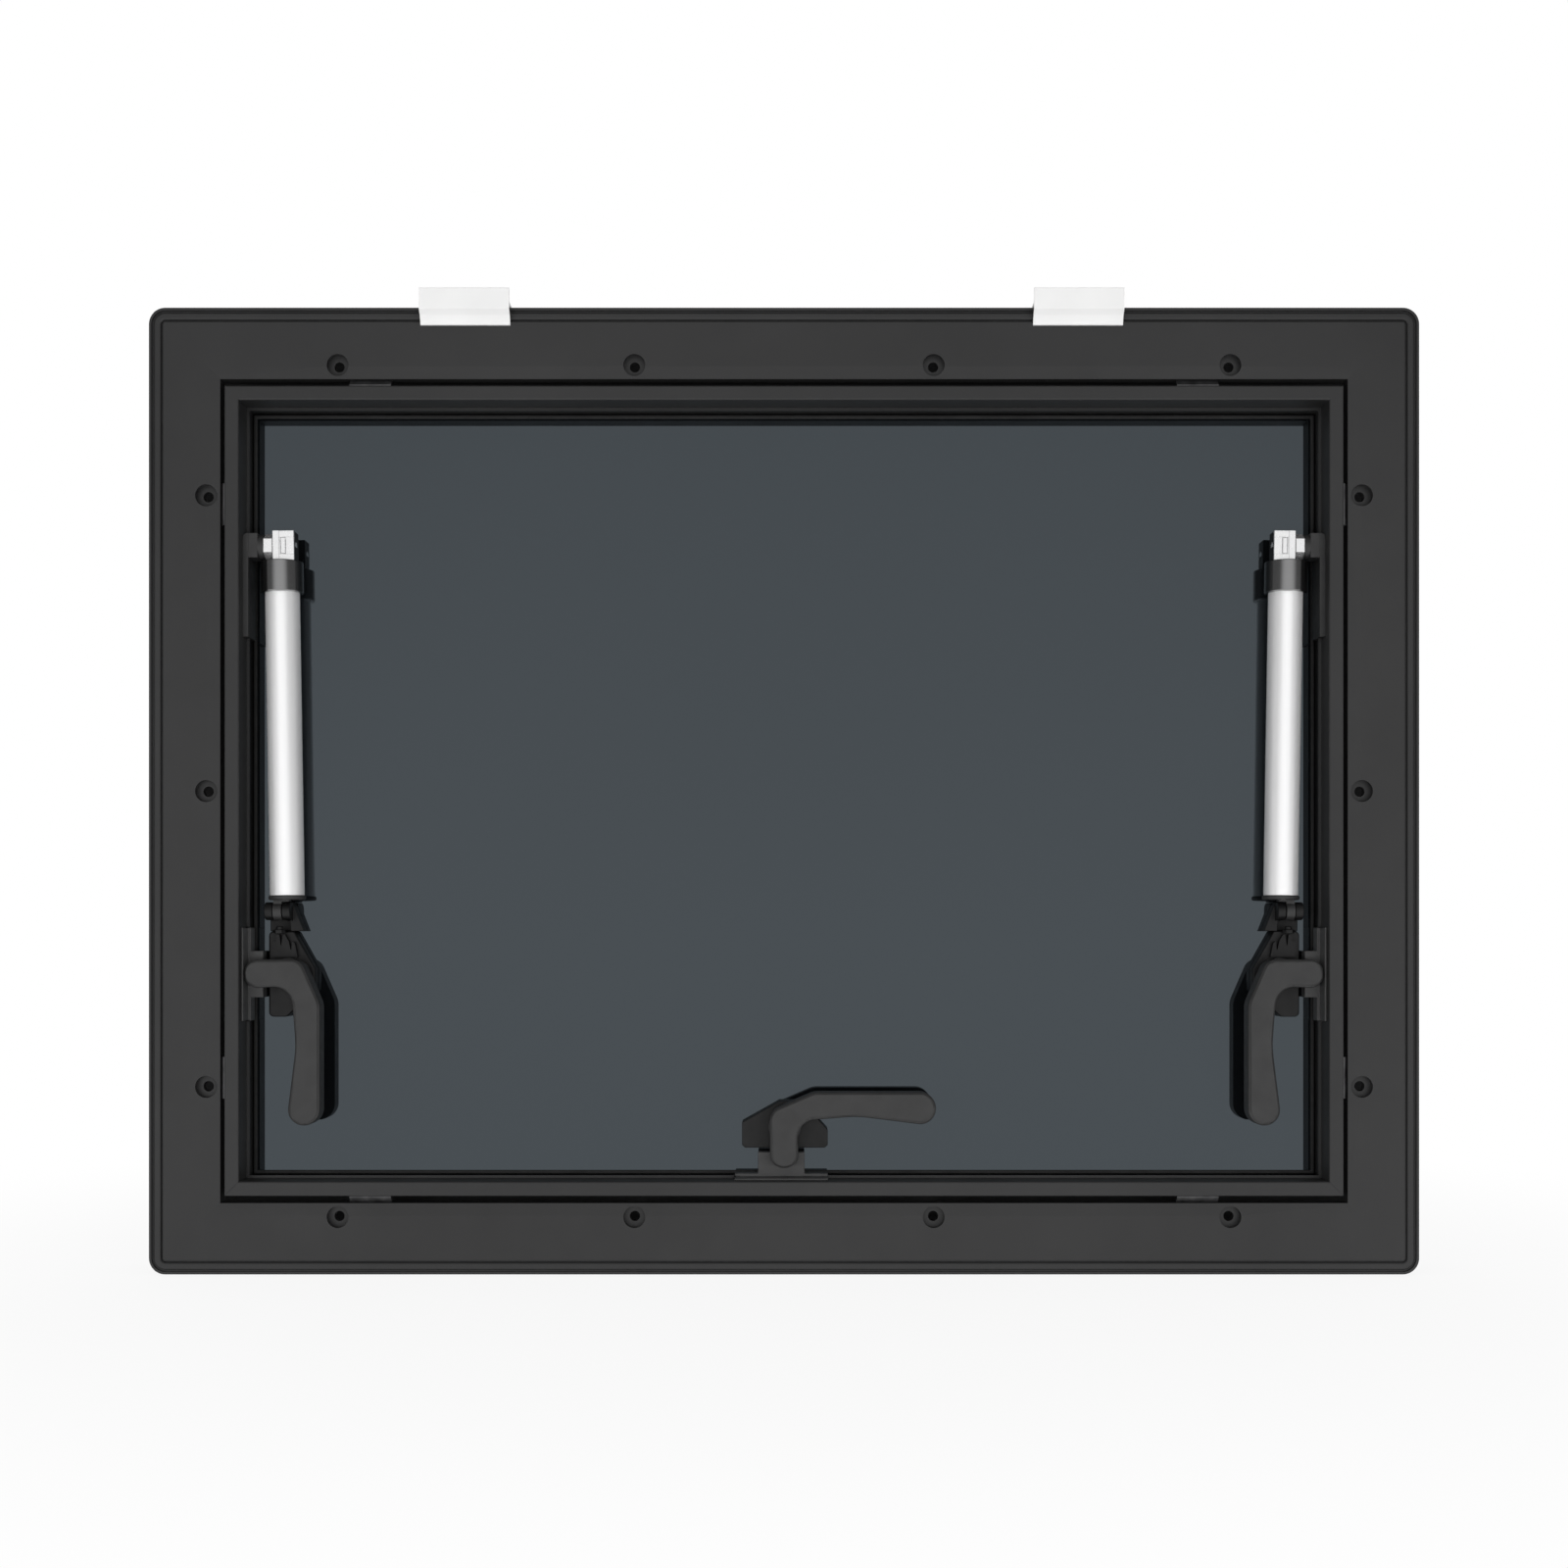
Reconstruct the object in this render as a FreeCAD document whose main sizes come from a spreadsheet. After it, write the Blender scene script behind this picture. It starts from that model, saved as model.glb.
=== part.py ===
import FreeCAD, Part

import math
import os
import re

import Sketcher

# Millimetres. X runs right as seen from inside, Y runs outdoors, Z runs up.
# The origin lies on the outer flange's wall face, in the middle of its bottom strip.
SIZES = {
    "opening_width": 600,
    "opening_height": 430,
    "collar_wall": 8,
    "wall_thickness": 30,
    "rim_height": 12,
    "rim_round": 1,
    "flange_width": 38,
    "flange_thickness": 6,
    "flange_radius": 10,
    "bead_from_rim": 16.5,
    "bead_width": 2,
    "bead_proud": 1.6,
    "trim_side_gap": 2.9,
    "trim_row_gap": 4.2,
    "trim_width": 39.3,
    "trim_height": 10,
    "trim_skin": 2.5,
    "trim_radius": 9,
    "trim_face_round": 0.6,
    "trim_slope_run": 7.3,
    "trim_slope_drop": 0.8,
    "trim_bead_round": 1.4,
    "trim_lip": 1.4,
    "trim_groove": 1,
    "trim_bead": 4.4,
    "trim_bead_drop": 0.6,
    "trim_groove_depth": 1.6,
    "trim_ledge": 16,
    "ledge_thickness": 5,
    "access_hole": 12,
    "screw_hole": 5.6,
    "hole_inset": 7.6,
    "hole_corner_inset": 62,
    "hole_inner_x": 82.5,
    "hole_side_inset": 60,
    "clip_tab_length": 23,
    "clip_tab_depth": 7,
    "clip_tab_recess": 1.5,
    "clip_tab_inset_x": 80,
    "clip_tab_inset_z": 65,
    "sash_side_gap": 2,
    "inner_pane_room_face": 13.5,
    "inner_pane": 3,
    "outer_pane": 4,
    "pane_space": 19.5,
    "pane_overlap": 20,
    "pane_radius": 12,
    "spacer_width": 9,
    "seal_side_gap": 1,
    "seal_width": 2.2,
    "seal_height": 1.2,
    "gasket_width": 4,
    "gasket_height": 2.7,
    "gasket_inset": 2,
    "hinge_y": 12,
    "hinge_above_opening": 15,
    "hinge_bead": 6,
    "hinge_bore": 6.3,
    "hinge_web": 2.4,
    "hinge_cap": 1.5,
    "hinge_leg": 14,
    "rail_half": 5.5,
    "rail_to_pane": 1,
    "rail_lip": 14,
    "rail_lip_thickness": 2,
    "mouth_back": 27,
    "mouth_front": 67,
    "stay_inset": 20,
    "stay_splay": 3,
    "stay_top_from_glass": 13.5,
    "stay_foot_from_glass": 12.5,
    "stay_below_opening_top": 78.2,
    "stay_above_opening_bottom": 149,
    "tube_diameter": 19,
    "tube_bore": 17,
    "tube_start": 12.5,
    "tube_to_foot": 8.7,
    "cap_diameter": 23.4,
    "cap_bore": 19.1,
    "cap_start": 8.3,
    "cap_end": 25.8,
    "end_ring_diameter": 20.4,
    "end_ring_length": 2.4,
    "clamp_shift": 2.2,
    "clamp_width": 11.6,
    "clamp_depth": 12,
    "clamp_slot": 3,
    "clamp_slot_height": 9,
    "bolt_diameter": 6,
    "bolt_bore": 6.4,
    "nut_across": 13,
    "nut_length": 5.2,
    "rod_diameter": 5.6,
    "rod_length": 112,
    "rod_shift": 1.2,
    "neck_length": 1.3,
    "shoulder_height": 1,
    "eye_shift": 4.9,
    "eye_thickness": 4.6,
    "eye_diameter": 10,
    "eye_bore": 4.3,
    "pin_diameter": 4,
    "cheek_gap": 0.4,
    "cheek_thickness": 4.4,
    "cheek_diameter": 10,
    "foot_pad": 3,
    "foot_above": 4,
    "foot_arm_drop": 4,
    "foot_arm_splay": 6,
    "bracket_thickness": 3,
    "bracket_front": 33.5,
    "bracket_back": 18,
    "bracket_below": 50.7,
    "bracket_arm": 13.4,
    "bracket_arm_depth": 12.6,
    "bracket_boss": 3.2,
    "bracket_corner": 2.4,
    "fit_gap": 0.2,
    "latch_side_inset": 23.6,
    "latch_side_rise": 113.9,
    "latch_bottom_x": 0.5,
    "latch_bottom_rise": 28.8,
    "nose_reach": 21.8,
    "nose_top": 8.3,
    "nose_bottom": 7.9,
    "nose_radius": 7.4,
    "shoulder_reach": 9.5,
    "shoulder_radius": 8,
    "elbow_drop": 16,
    "elbow_radius": 12,
    "lever_outer": 20,
    "lever_length": 83.5,
    "lever_tip_inner": 1.2,
    "lever_tip_radius": 9,
    "lever_heel_radius": 8.6,
    "waist_inner": 6.6,
    "waist_drop": 40,
    "waist_radius": 60,
    "crotch_inner": 4,
    "crotch_drop": 6.5,
    "crotch_radius": 10.5,
    "handle_front": 38,
    "handle_thickness": 11,
    "handle_edge": 1.4,
    "hub_diameter": 18,
    "base_top": 22,
    "base_length": 48,
    "base_wall_side": 12.2,
    "base_glass_side": 13.8,
    "base_end_run": 14.2,
    "base_end_rise": 15.9,
    "base_wall_chamfer": 1.6,
    "base_taper_run": 21,
    "base_taper_rise": 11.8,
    "pivot_diameter": 8,
    "pivot_bore": 8.3,
    "pivot_depth": 6,
    "pivot_end_gap": 0.4,
    "hub_gap": 0.3,
    "keeper_front": 26.5,
    "keeper_back": 18,
    "keeper_plate": 2.7,
    "keeper_plate_length": 52,
    "keeper_bottom_shift": 2,
    "keeper_strip": 1.1,
    "keeper_strip_depth": 10.5,
    "keeper_block_length": 26,
    "keeper_from_pivot": 14.1,
    "edge_clip_width": 49.4,
    "edge_clip_above": 8.9,
    "edge_clip_below": 10.2,
    "edge_clip_thickness": 1.6,
    "edge_clip_flare": 5,
    "edge_clip_lip": 3,
    "edge_clip_corner": 2.8,
    "edge_clip_left_x": 175.4,
    "edge_clip_right_x": 161.8,
}

FREE_NAME = re.compile(r"[a-z_]+")

# The finished pieces, by node name.
NODES = {}

doc = FreeCAD.newDocument("ventilation_window")
sheet = doc.addObject("Spreadsheet::Sheet", "Sizes")
for row, (alias, size) in enumerate(SIZES.items(), start=1):
    sheet.set(f"A{row}", alias)
    sheet.set(f"B{row}", str(size))
    sheet.setAlias(f"B{row}", alias)
doc.recompute()

# Derived lengths, as expressions of the sheet's names.
COLLAR_WIDTH = "(opening_width + 2 * collar_wall)"
COLLAR_HEIGHT = "(opening_height + 2 * collar_wall)"
FLANGE_OUTER_WIDTH = f"({COLLAR_WIDTH} + 2 * flange_width)"
FLANGE_OUTER_HEIGHT = f"({COLLAR_HEIGHT} + 2 * flange_width)"
CENTRE = f"({COLLAR_HEIGHT} / 2 + flange_width / 2)"
RIM = "(wall_thickness + rim_height)"
TRIM_OPENING_WIDTH = f"({COLLAR_WIDTH} + 2 * trim_side_gap)"
TRIM_OPENING_HEIGHT = f"({COLLAR_HEIGHT} + 2 * trim_row_gap)"
TRIM_OUTER_WIDTH = f"({TRIM_OPENING_WIDTH} + 2 * trim_width)"
TRIM_OUTER_HEIGHT = f"({TRIM_OPENING_HEIGHT} + 2 * trim_width)"
TRIM_FACE = "(wall_thickness + trim_height)"
HOLE_OUTER_X = f"({COLLAR_WIDTH} / 2 - hole_corner_inset)"
HOLE_SIDE_Z = f"({COLLAR_HEIGHT} / 2 - hole_side_inset)"
TAB_X = f"({COLLAR_WIDTH} / 2 - clip_tab_inset_x)"
TAB_Z = f"({COLLAR_HEIGHT} / 2 - clip_tab_inset_z)"
INNER_PANE_WIDTH = "(opening_width - 2 * sash_side_gap)"
INNER_PANE_HEIGHT = "(opening_height - 2 * sash_side_gap)"
OUTER_PANE_NEAR = "(pane_space + inner_pane - inner_pane_room_face)"
OUTER_PANE_FAR = f"({OUTER_PANE_NEAR} + outer_pane)"
OUTER_PANE_WIDTH = "(opening_width + 2 * pane_overlap)"
HINGE_Z = f"({CENTRE} + opening_height / 2 + hinge_above_opening)"
PANE_TOP = f"({HINGE_Z} - rail_half - hinge_cap - rail_to_pane)"
PANE_BOTTOM = f"({CENTRE} - opening_height / 2 - pane_overlap)"
STAY_X = "(opening_width / 2 - stay_inset)"
STAY_TOP_Y = "(inner_pane_room_face + stay_top_from_glass)"
STAY_FOOT_Y = "(inner_pane_room_face + stay_foot_from_glass)"
STAY_TOP_Z = f"({CENTRE} + opening_height / 2 - stay_below_opening_top)"
STAY_FOOT_Z = f"({CENTRE} - opening_height / 2 + stay_above_opening_bottom)"
STAY_DROP = f"({STAY_TOP_Z} - {STAY_FOOT_Z})"
STAY_RUN = f"({STAY_TOP_Y} - {STAY_FOOT_Y})"
STAY_LENGTH = f"sqrt({STAY_DROP} ^ 2 + {STAY_RUN} ^ 2 + stay_splay ^ 2)"
STAY_LEAN = f"acos({STAY_DROP} / {STAY_LENGTH})"
TUBE_END = f"({STAY_LENGTH} - tube_to_foot)"
CLAMP_NEAR = f"({STAY_X} - clamp_shift - clamp_width / 2)"
CLAMP_FAR = f"({STAY_X} - clamp_shift + clamp_width / 2)"
NUT_FAR = f"({CLAMP_FAR} + nut_length)"
LATCH_SIDE_X = "(opening_width / 2 - latch_side_inset)"
LATCH_SIDE_Z = f"({CENTRE} - opening_height / 2 + latch_side_rise)"
LATCH_BOTTOM_Z = f"({CENTRE} - opening_height / 2 + latch_bottom_rise)"
LEFT = "-1"
RIGHT = "1"


def bound(text):
    """Return an expression with the sheet's name put before each of its aliases."""
    return FREE_NAME.sub(lambda found: prefixed(found.group()), text)


def prefixed(name):
    """Return one name, written as a cell of the sheet when it is one."""
    return f"Sizes.{name}" if name in SIZES else name


def number(text):
    """Return the value that an expression has with the sheet's present sizes."""
    return float(sheet.evalExpression(bound(text)))


def new_body(name):
    """Return a new empty body."""
    return doc.addObject("PartDesign::Body", name)


def new_sketch(body, role, offset):
    """Return a sketch on one of the body's own origin planes, moved along its normal."""
    sketch = body.newObject("Sketcher::SketchObject", f"{body.Name}_sketch")
    planes = [feature for feature in body.Origin.OriginFeatures if feature.Role == role]
    sketch.AttachmentSupport = [(planes[0], "")]
    sketch.MapMode = "FlatFace"
    sketch.setExpression("AttachmentOffset.Base.z", bound(offset))
    return sketch


def place(sketch, kind, geometry, point, text):
    """Fix one coordinate of a sketch point to an expression."""
    index = sketch.addConstraint(Sketcher.Constraint(kind, geometry, point, number(text)))
    sketch.setExpression(f"Constraints[{index}]", bound(text))


def add_polygon(sketch, corners):
    """Draw a closed outline whose corners are pairs of expressions."""
    first = sketch.GeometryCount
    points = [FreeCAD.Vector(number(u), number(v), 0) for u, v in corners]
    count = len(points)
    for index, point in enumerate(points):
        sketch.addGeometry(Part.LineSegment(point, points[(index + 1) % count]))
    for index in range(count):
        follower = first + (index + 1) % count
        sketch.addConstraint(Sketcher.Constraint("Coincident", first + index, 2, follower, 1))
    for index, (u, v) in enumerate(corners):
        place(sketch, "DistanceX", first + index, 1, u)
        place(sketch, "DistanceY", first + index, 1, v)


def add_circle(sketch, u, v, diameter):
    """Draw a circle whose centre and diameter are expressions."""
    centre = FreeCAD.Vector(number(u), number(v), 0)
    normal = FreeCAD.Vector(0, 0, 1)
    index = sketch.addGeometry(Part.Circle(centre, normal, number(diameter) / 2))
    place(sketch, "DistanceX", index, 3, u)
    place(sketch, "DistanceY", index, 3, v)
    size = sketch.addConstraint(Sketcher.Constraint("Diameter", index, number(diameter)))
    sketch.setExpression(f"Constraints[{size}]", bound(diameter))


def add_rectangle(sketch, width, height):
    """Draw a rectangle about the window's centre."""
    low = f"({CENTRE} - {height} / 2)"
    high = f"({CENTRE} + {height} / 2)"
    west = f"(-{width} / 2)"
    east = f"({width} / 2)"
    add_polygon(sketch, [(west, low), (east, low), (east, high), (west, high)])


def add_rounded_rectangle(sketch, width, low, high, radius):
    """Draw a rectangle with round corners, centred on X, between two heights."""
    first = sketch.GeometryCount
    half = number(width) / 2
    bottom = number(low)
    top = number(high)
    arc_radius = number(radius)
    normal = FreeCAD.Vector(0, 0, 1)
    centres = [
        (half - arc_radius, bottom + arc_radius),
        (half - arc_radius, top - arc_radius),
        (arc_radius - half, top - arc_radius),
        (arc_radius - half, bottom + arc_radius),
    ]
    sides = [
        ((arc_radius - half, bottom), (half - arc_radius, bottom)),
        ((half, bottom + arc_radius), (half, top - arc_radius)),
        ((half - arc_radius, top), (arc_radius - half, top)),
        ((-half, top - arc_radius), (-half, bottom + arc_radius)),
    ]
    for quarter, ((start, end), centre) in enumerate(zip(sides, centres)):
        sketch.addGeometry(Part.LineSegment(FreeCAD.Vector(*start, 0), FreeCAD.Vector(*end, 0)))
        circle = Part.Circle(FreeCAD.Vector(*centre, 0), normal, arc_radius)
        turn = (quarter - 1) * math.pi / 2
        sketch.addGeometry(Part.ArcOfCircle(circle, turn, turn + math.pi / 2))
    for quarter in range(4):
        line = first + 2 * quarter
        follower = first + (2 * quarter + 2) % 8
        sketch.addConstraint(Sketcher.Constraint("Tangent", line, 2, line + 1, 1))
        sketch.addConstraint(Sketcher.Constraint("Tangent", line + 1, 2, follower, 1))
        direction = "Horizontal" if quarter % 2 == 0 else "Vertical"
        sketch.addConstraint(Sketcher.Constraint(direction, line))
    for quarter in range(1, 4):
        sketch.addConstraint(Sketcher.Constraint("Equal", first + 1, first + 1 + 2 * quarter))
    size = sketch.addConstraint(Sketcher.Constraint("Radius", first + 1, arc_radius))
    sketch.setExpression(f"Constraints[{size}]", bound(radius))
    place(sketch, "DistanceY", first, 1, low)
    place(sketch, "DistanceX", first + 2, 1, f"({width} / 2)")
    place(sketch, "DistanceY", first + 4, 1, high)
    place(sketch, "DistanceX", first + 6, 1, f"(-{width} / 2)")


def pad(body, sketch, length):
    """Add the sketch to the body over a length along its normal."""
    feature = body.newObject("PartDesign::Pad", f"{body.Name}_pad")
    feature.Profile = sketch
    feature.setExpression("Length", bound(length))
    return feature


def pocket(body, sketch, length):
    """Cut the sketch from the body over a length against its normal."""
    feature = body.newObject("PartDesign::Pocket", f"{body.Name}_pocket")
    feature.Profile = sketch
    feature.setExpression("Length", bound(length))
    return feature


def slab(body, role, corners, start, end):
    """Add a polygon to the body between two offsets along the plane's normal."""
    sketch = new_sketch(body, role, start)
    add_polygon(sketch, corners)
    return pad(body, sketch, f"({end}) - ({start})")


def cut_slab(body, role, corners, start, end):
    """Cut a polygon from the body between two offsets along the plane's normal."""
    sketch = new_sketch(body, role, end)
    add_polygon(sketch, corners)
    return pocket(body, sketch, f"({end}) - ({start})")


def disc(body, role, u, v, diameter, start, end):
    """Add a round bar to the body between two offsets along the plane's normal."""
    sketch = new_sketch(body, role, start)
    add_circle(sketch, u, v, diameter)
    return pad(body, sketch, f"({end}) - ({start})")


def cut_discs(body, role, centres, diameter, start, end):
    """Cut round holes from the body between two offsets along the plane's normal."""
    sketch = new_sketch(body, role, end)
    for u, v in centres:
        add_circle(sketch, u, v, diameter)
    return pocket(body, sketch, f"({end}) - ({start})")


def box(low_u, high_u, low_v, high_v):
    """Return the corners of an upright rectangle."""
    return [(low_u, low_v), (high_u, low_v), (high_u, high_v), (low_u, high_v)]


def mirrored(side, near, far):
    """Return two X offsets in rising order, on the side that the sign names."""
    return (f"-({far})", f"-({near})") if side == LEFT else (near, far)


def round_edges(body, feature, chosen, radius):
    """Round the chosen edges of the body's last feature."""
    doc.recompute()
    names = [
        f"Edge{index}"
        for index, edge in enumerate(feature.Shape.Edges, start=1)
        if chosen(edge)
    ]
    fillet = body.newObject("PartDesign::Fillet", f"{body.Name}_round")
    fillet.Base = (feature, names)
    fillet.setExpression("Radius", bound(radius))
    return fillet


def slope_edges(body, feature, chosen):
    """Slope the face down toward the chosen edges of the body's last feature."""
    doc.recompute()
    names = [
        f"Edge{index}"
        for index, edge in enumerate(feature.Shape.Edges, start=1)
        if chosen(edge)
    ]
    chamfer = body.newObject("PartDesign::Chamfer", f"{body.Name}_slope")
    chamfer.Base = (feature, names)
    chamfer.ChamferType = "Two distances"
    chamfer.setExpression("Size", bound("trim_slope_drop"))
    chamfer.setExpression("Size2", bound("trim_slope_run"))
    return chamfer


def spans_within(edge, reach):
    """Say whether an edge stays within a distance of the window's middle line."""
    limits = edge.BoundBox
    return max(abs(limits.XMin), abs(limits.XMax)) < reach + 1e-4


def flat_at(edge, axis, level):
    """Say whether an edge lies wholly at one level along an axis."""
    limits = edge.BoundBox
    low = (limits.XMin, limits.YMin, limits.ZMin)[axis]
    high = (limits.XMax, limits.YMax, limits.ZMax)[axis]
    return abs(low - level) < 1e-4 and abs(high - level) < 1e-4


def mitred_sides(ring, name, outer, inner):
    """Split a ring into four sides along the lines through its outer and inner corners."""
    doc.recompute()
    reach = f"(({outer[0]} - {inner[0]}) / 2)"
    rise = f"(({outer[1]} - {inner[1]}) / 2)"
    far_x = f"({outer[0]} / 2 + {reach})"
    far_z = f"({outer[1]} / 2 + {rise})"
    near_x = f"({inner[0]} / 2 - 2 * {reach})"
    near_z = f"({inner[1]} / 2 - 2 * {rise})"
    wedges = {
        "bottom": [
            (f"-{far_x}", f"{CENTRE} - {far_z}"),
            (far_x, f"{CENTRE} - {far_z}"),
            (near_x, f"{CENTRE} - {near_z}"),
            (f"-{near_x}", f"{CENTRE} - {near_z}"),
        ],
        "top": [
            (f"-{far_x}", f"{CENTRE} + {far_z}"),
            (f"-{near_x}", f"{CENTRE} + {near_z}"),
            (near_x, f"{CENTRE} + {near_z}"),
            (far_x, f"{CENTRE} + {far_z}"),
        ],
        "left": [
            (f"-{far_x}", f"{CENTRE} - {far_z}"),
            (f"-{near_x}", f"{CENTRE} - {near_z}"),
            (f"-{near_x}", f"{CENTRE} + {near_z}"),
            (f"-{far_x}", f"{CENTRE} + {far_z}"),
        ],
        "right": [
            (far_x, f"{CENTRE} - {far_z}"),
            (far_x, f"{CENTRE} + {far_z}"),
            (near_x, f"{CENTRE} + {near_z}"),
            (near_x, f"{CENTRE} - {near_z}"),
        ],
    }
    for side, corners in wedges.items():
        wedge = new_body(f"{name}_{side}_wedge")
        slab(wedge, "XZ_Plane", corners, "-2 * flange_thickness", f"{RIM} + flange_thickness")
        common = doc.addObject("Part::Common", f"{name}_{side}")
        common.Base = ring
        common.Tool = wedge
        NODES[f"{name}_{side}"] = common


def ring_layer(body, outer, inner, start, end):
    """Add a square-cornered frame between two depths."""
    sketch = new_sketch(body, "XZ_Plane", start)
    add_rectangle(sketch, *outer)
    add_rectangle(sketch, *inner)
    return pad(body, sketch, f"({end}) - ({start})")


def round_ring(body, inset_out, inset_in, start, end):
    """Add a frame that follows the trim's round outline between two insets and depths."""
    sketch = new_sketch(body, "XZ_Plane", start)
    for inset in (inset_out, inset_in):
        width = f"({TRIM_OUTER_WIDTH} - 2 * ({inset}))"
        low = f"({CENTRE} - {TRIM_OUTER_HEIGHT} / 2 + ({inset}))"
        high = f"({CENTRE} + {TRIM_OUTER_HEIGHT} / 2 - ({inset}))"
        add_rounded_rectangle(sketch, width, low, high, f"max(trim_radius - ({inset}); trim_lip)")
    return pad(body, sketch, f"({end}) - ({start})")


def build_outer_frame():
    """Build the outside flange with its collar through the wall, in four mitred sides."""
    ring = new_body("outer_frame_ring")
    sketch = new_sketch(ring, "XZ_Plane", "-flange_thickness")
    low = f"({CENTRE} - {FLANGE_OUTER_HEIGHT} / 2)"
    high = f"({CENTRE} + {FLANGE_OUTER_HEIGHT} / 2)"
    add_rounded_rectangle(sketch, FLANGE_OUTER_WIDTH, low, high, "flange_radius")
    add_rectangle(sketch, "opening_width", "opening_height")
    pad(ring, sketch, "flange_thickness")
    collar = (COLLAR_WIDTH, COLLAR_HEIGHT)
    opening = ("opening_width", "opening_height")
    beaded = ("(opening_width - 2 * bead_proud)", "(opening_height - 2 * bead_proud)")
    bead_end = f"{RIM} - bead_from_rim"
    bead_start = f"{bead_end} - bead_width"
    ring_layer(ring, collar, opening, "0", bead_start)
    ring_layer(ring, collar, beaded, bead_start, bead_end)
    last = ring_layer(ring, collar, opening, bead_end, RIM)
    rim_level = -number(RIM)
    round_edges(ring, last, lambda edge: flat_at(edge, 1, rim_level), "rim_round")
    mitred_sides(ring, "outer_frame", (FLANGE_OUTER_WIDTH, FLANGE_OUTER_HEIGHT), collar)


def hole_centres():
    """Return the places of the trim's fourteen screw holes."""
    row = f"({TRIM_OPENING_HEIGHT} / 2 + hole_inset)"
    column = f"({TRIM_OPENING_WIDTH} / 2 + hole_inset)"
    centres = []
    for up in ("-", "+"):
        for across in (f"-{HOLE_OUTER_X}", "-hole_inner_x", "hole_inner_x", HOLE_OUTER_X):
            centres.append((across, f"{CENTRE} {up} {row}"))
    for across in (f"-{column}", column):
        for height in (f"{CENTRE} - {HOLE_SIDE_Z}", CENTRE, f"{CENTRE} + {HOLE_SIDE_Z}"):
            centres.append((across, height))
    return centres


def build_inner_trim():
    """Build the indoor clamp ring: a hollow face with a screw ledge, in four mitred sides."""
    ring = new_body("inner_trim_ring")
    opening = (TRIM_OPENING_WIDTH, TRIM_OPENING_HEIGHT)
    lined = (f"({TRIM_OPENING_WIDTH} + 2 * trim_skin)", f"({TRIM_OPENING_HEIGHT} + 2 * trim_skin)")
    ledge = (f"({TRIM_OPENING_WIDTH} + 2 * trim_ledge)", f"({TRIM_OPENING_HEIGHT} + 2 * trim_ledge)")
    bead_start = "trim_lip + trim_groove"
    bead_end = f"{bead_start} + trim_bead"
    face_start = f"{bead_end} + trim_groove"
    floor = f"({TRIM_FACE} - trim_bead_drop - trim_groove_depth)"
    skin = f"({TRIM_FACE} - trim_skin)"
    sketch = new_sketch(ring, "XZ_Plane", skin)
    width = f"({TRIM_OUTER_WIDTH} - 2 * ({face_start}))"
    low = f"({CENTRE} - {TRIM_OUTER_HEIGHT} / 2 + ({face_start}))"
    high = f"({CENTRE} + {TRIM_OUTER_HEIGHT} / 2 - ({face_start}))"
    add_rounded_rectangle(sketch, width, low, high, f"max(trim_radius - ({face_start}); trim_lip)")
    add_rectangle(sketch, *opening)
    face = pad(ring, sketch, "trim_skin")
    level = -number(TRIM_FACE)
    reach = number(TRIM_OPENING_WIDTH) / 2
    sloped = slope_edges(ring, face, lambda edge: flat_at(edge, 1, level) and spans_within(edge, reach))
    slope_reach = reach + number("trim_slope_run")
    round_edges(
        ring,
        sloped,
        lambda edge: flat_at(edge, 1, level) and not spans_within(edge, slope_reach),
        "trim_face_round",
    )
    round_ring(ring, "0", f"{face_start} + 2 * trim_skin", f"{floor} - trim_skin / 2", floor)
    bead = round_ring(ring, bead_start, bead_end, floor, f"{TRIM_FACE} - trim_bead_drop")
    bead_level = level + number("trim_bead_drop")
    round_edges(ring, bead, lambda edge: flat_at(edge, 1, bead_level), "trim_bead_round")
    round_ring(ring, "0", "trim_lip", "wall_thickness", f"{TRIM_FACE} - trim_bead_drop")
    ring_layer(ring, lined, opening, "wall_thickness", skin)
    ring_layer(ring, ledge, lined, "wall_thickness", "wall_thickness + ledge_thickness")
    cut_discs(ring, "XZ_Plane", hole_centres(), "access_hole", skin, TRIM_FACE)
    cut_discs(
        ring,
        "XZ_Plane",
        hole_centres(),
        "screw_hole",
        "wall_thickness",
        "wall_thickness + ledge_thickness",
    )
    mitred_sides(ring, "inner_trim", (TRIM_OUTER_WIDTH, TRIM_OUTER_HEIGHT), opening)


def build_trim_clips():
    """Build the spring tabs that fill part of the gap between collar and trim."""
    tabs = []
    end = f"{RIM} - clip_tab_recess"
    start = f"{end} - clip_tab_depth"
    half = "clip_tab_length / 2"
    side_near = f"{COLLAR_WIDTH} / 2"
    row_near = f"{COLLAR_HEIGHT} / 2"
    for sign in ("-", "+"):
        for middle in (f"{CENTRE} - {TAB_Z}", f"{CENTRE} + {TAB_Z}"):
            tab = new_body(f"trim_clip_side_{len(tabs)}")
            west = f"-{side_near} - trim_side_gap" if sign == "-" else side_near
            east = f"-{side_near}" if sign == "-" else f"{side_near} + trim_side_gap"
            corners = box(west, east, f"{middle} - {half}", f"{middle} + {half}")
            slab(tab, "XZ_Plane", corners, start, end)
            tabs.append(tab)
        for across in (f"-{TAB_X}", TAB_X):
            tab = new_body(f"trim_clip_row_{len(tabs)}")
            near = f"{CENTRE} {sign} {row_near}"
            far = f"{CENTRE} {sign} ({row_near} + trim_row_gap)"
            bottom, top = (far, near) if sign == "-" else (near, far)
            corners = box(f"{across} - {half}", f"{across} + {half}", bottom, top)
            slab(tab, "XZ_Plane", corners, start, end)
            tabs.append(tab)
    group = doc.addObject("Part::Compound", "trim_clips")
    group.Links = tabs
    NODES["trim_clips"] = group


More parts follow.
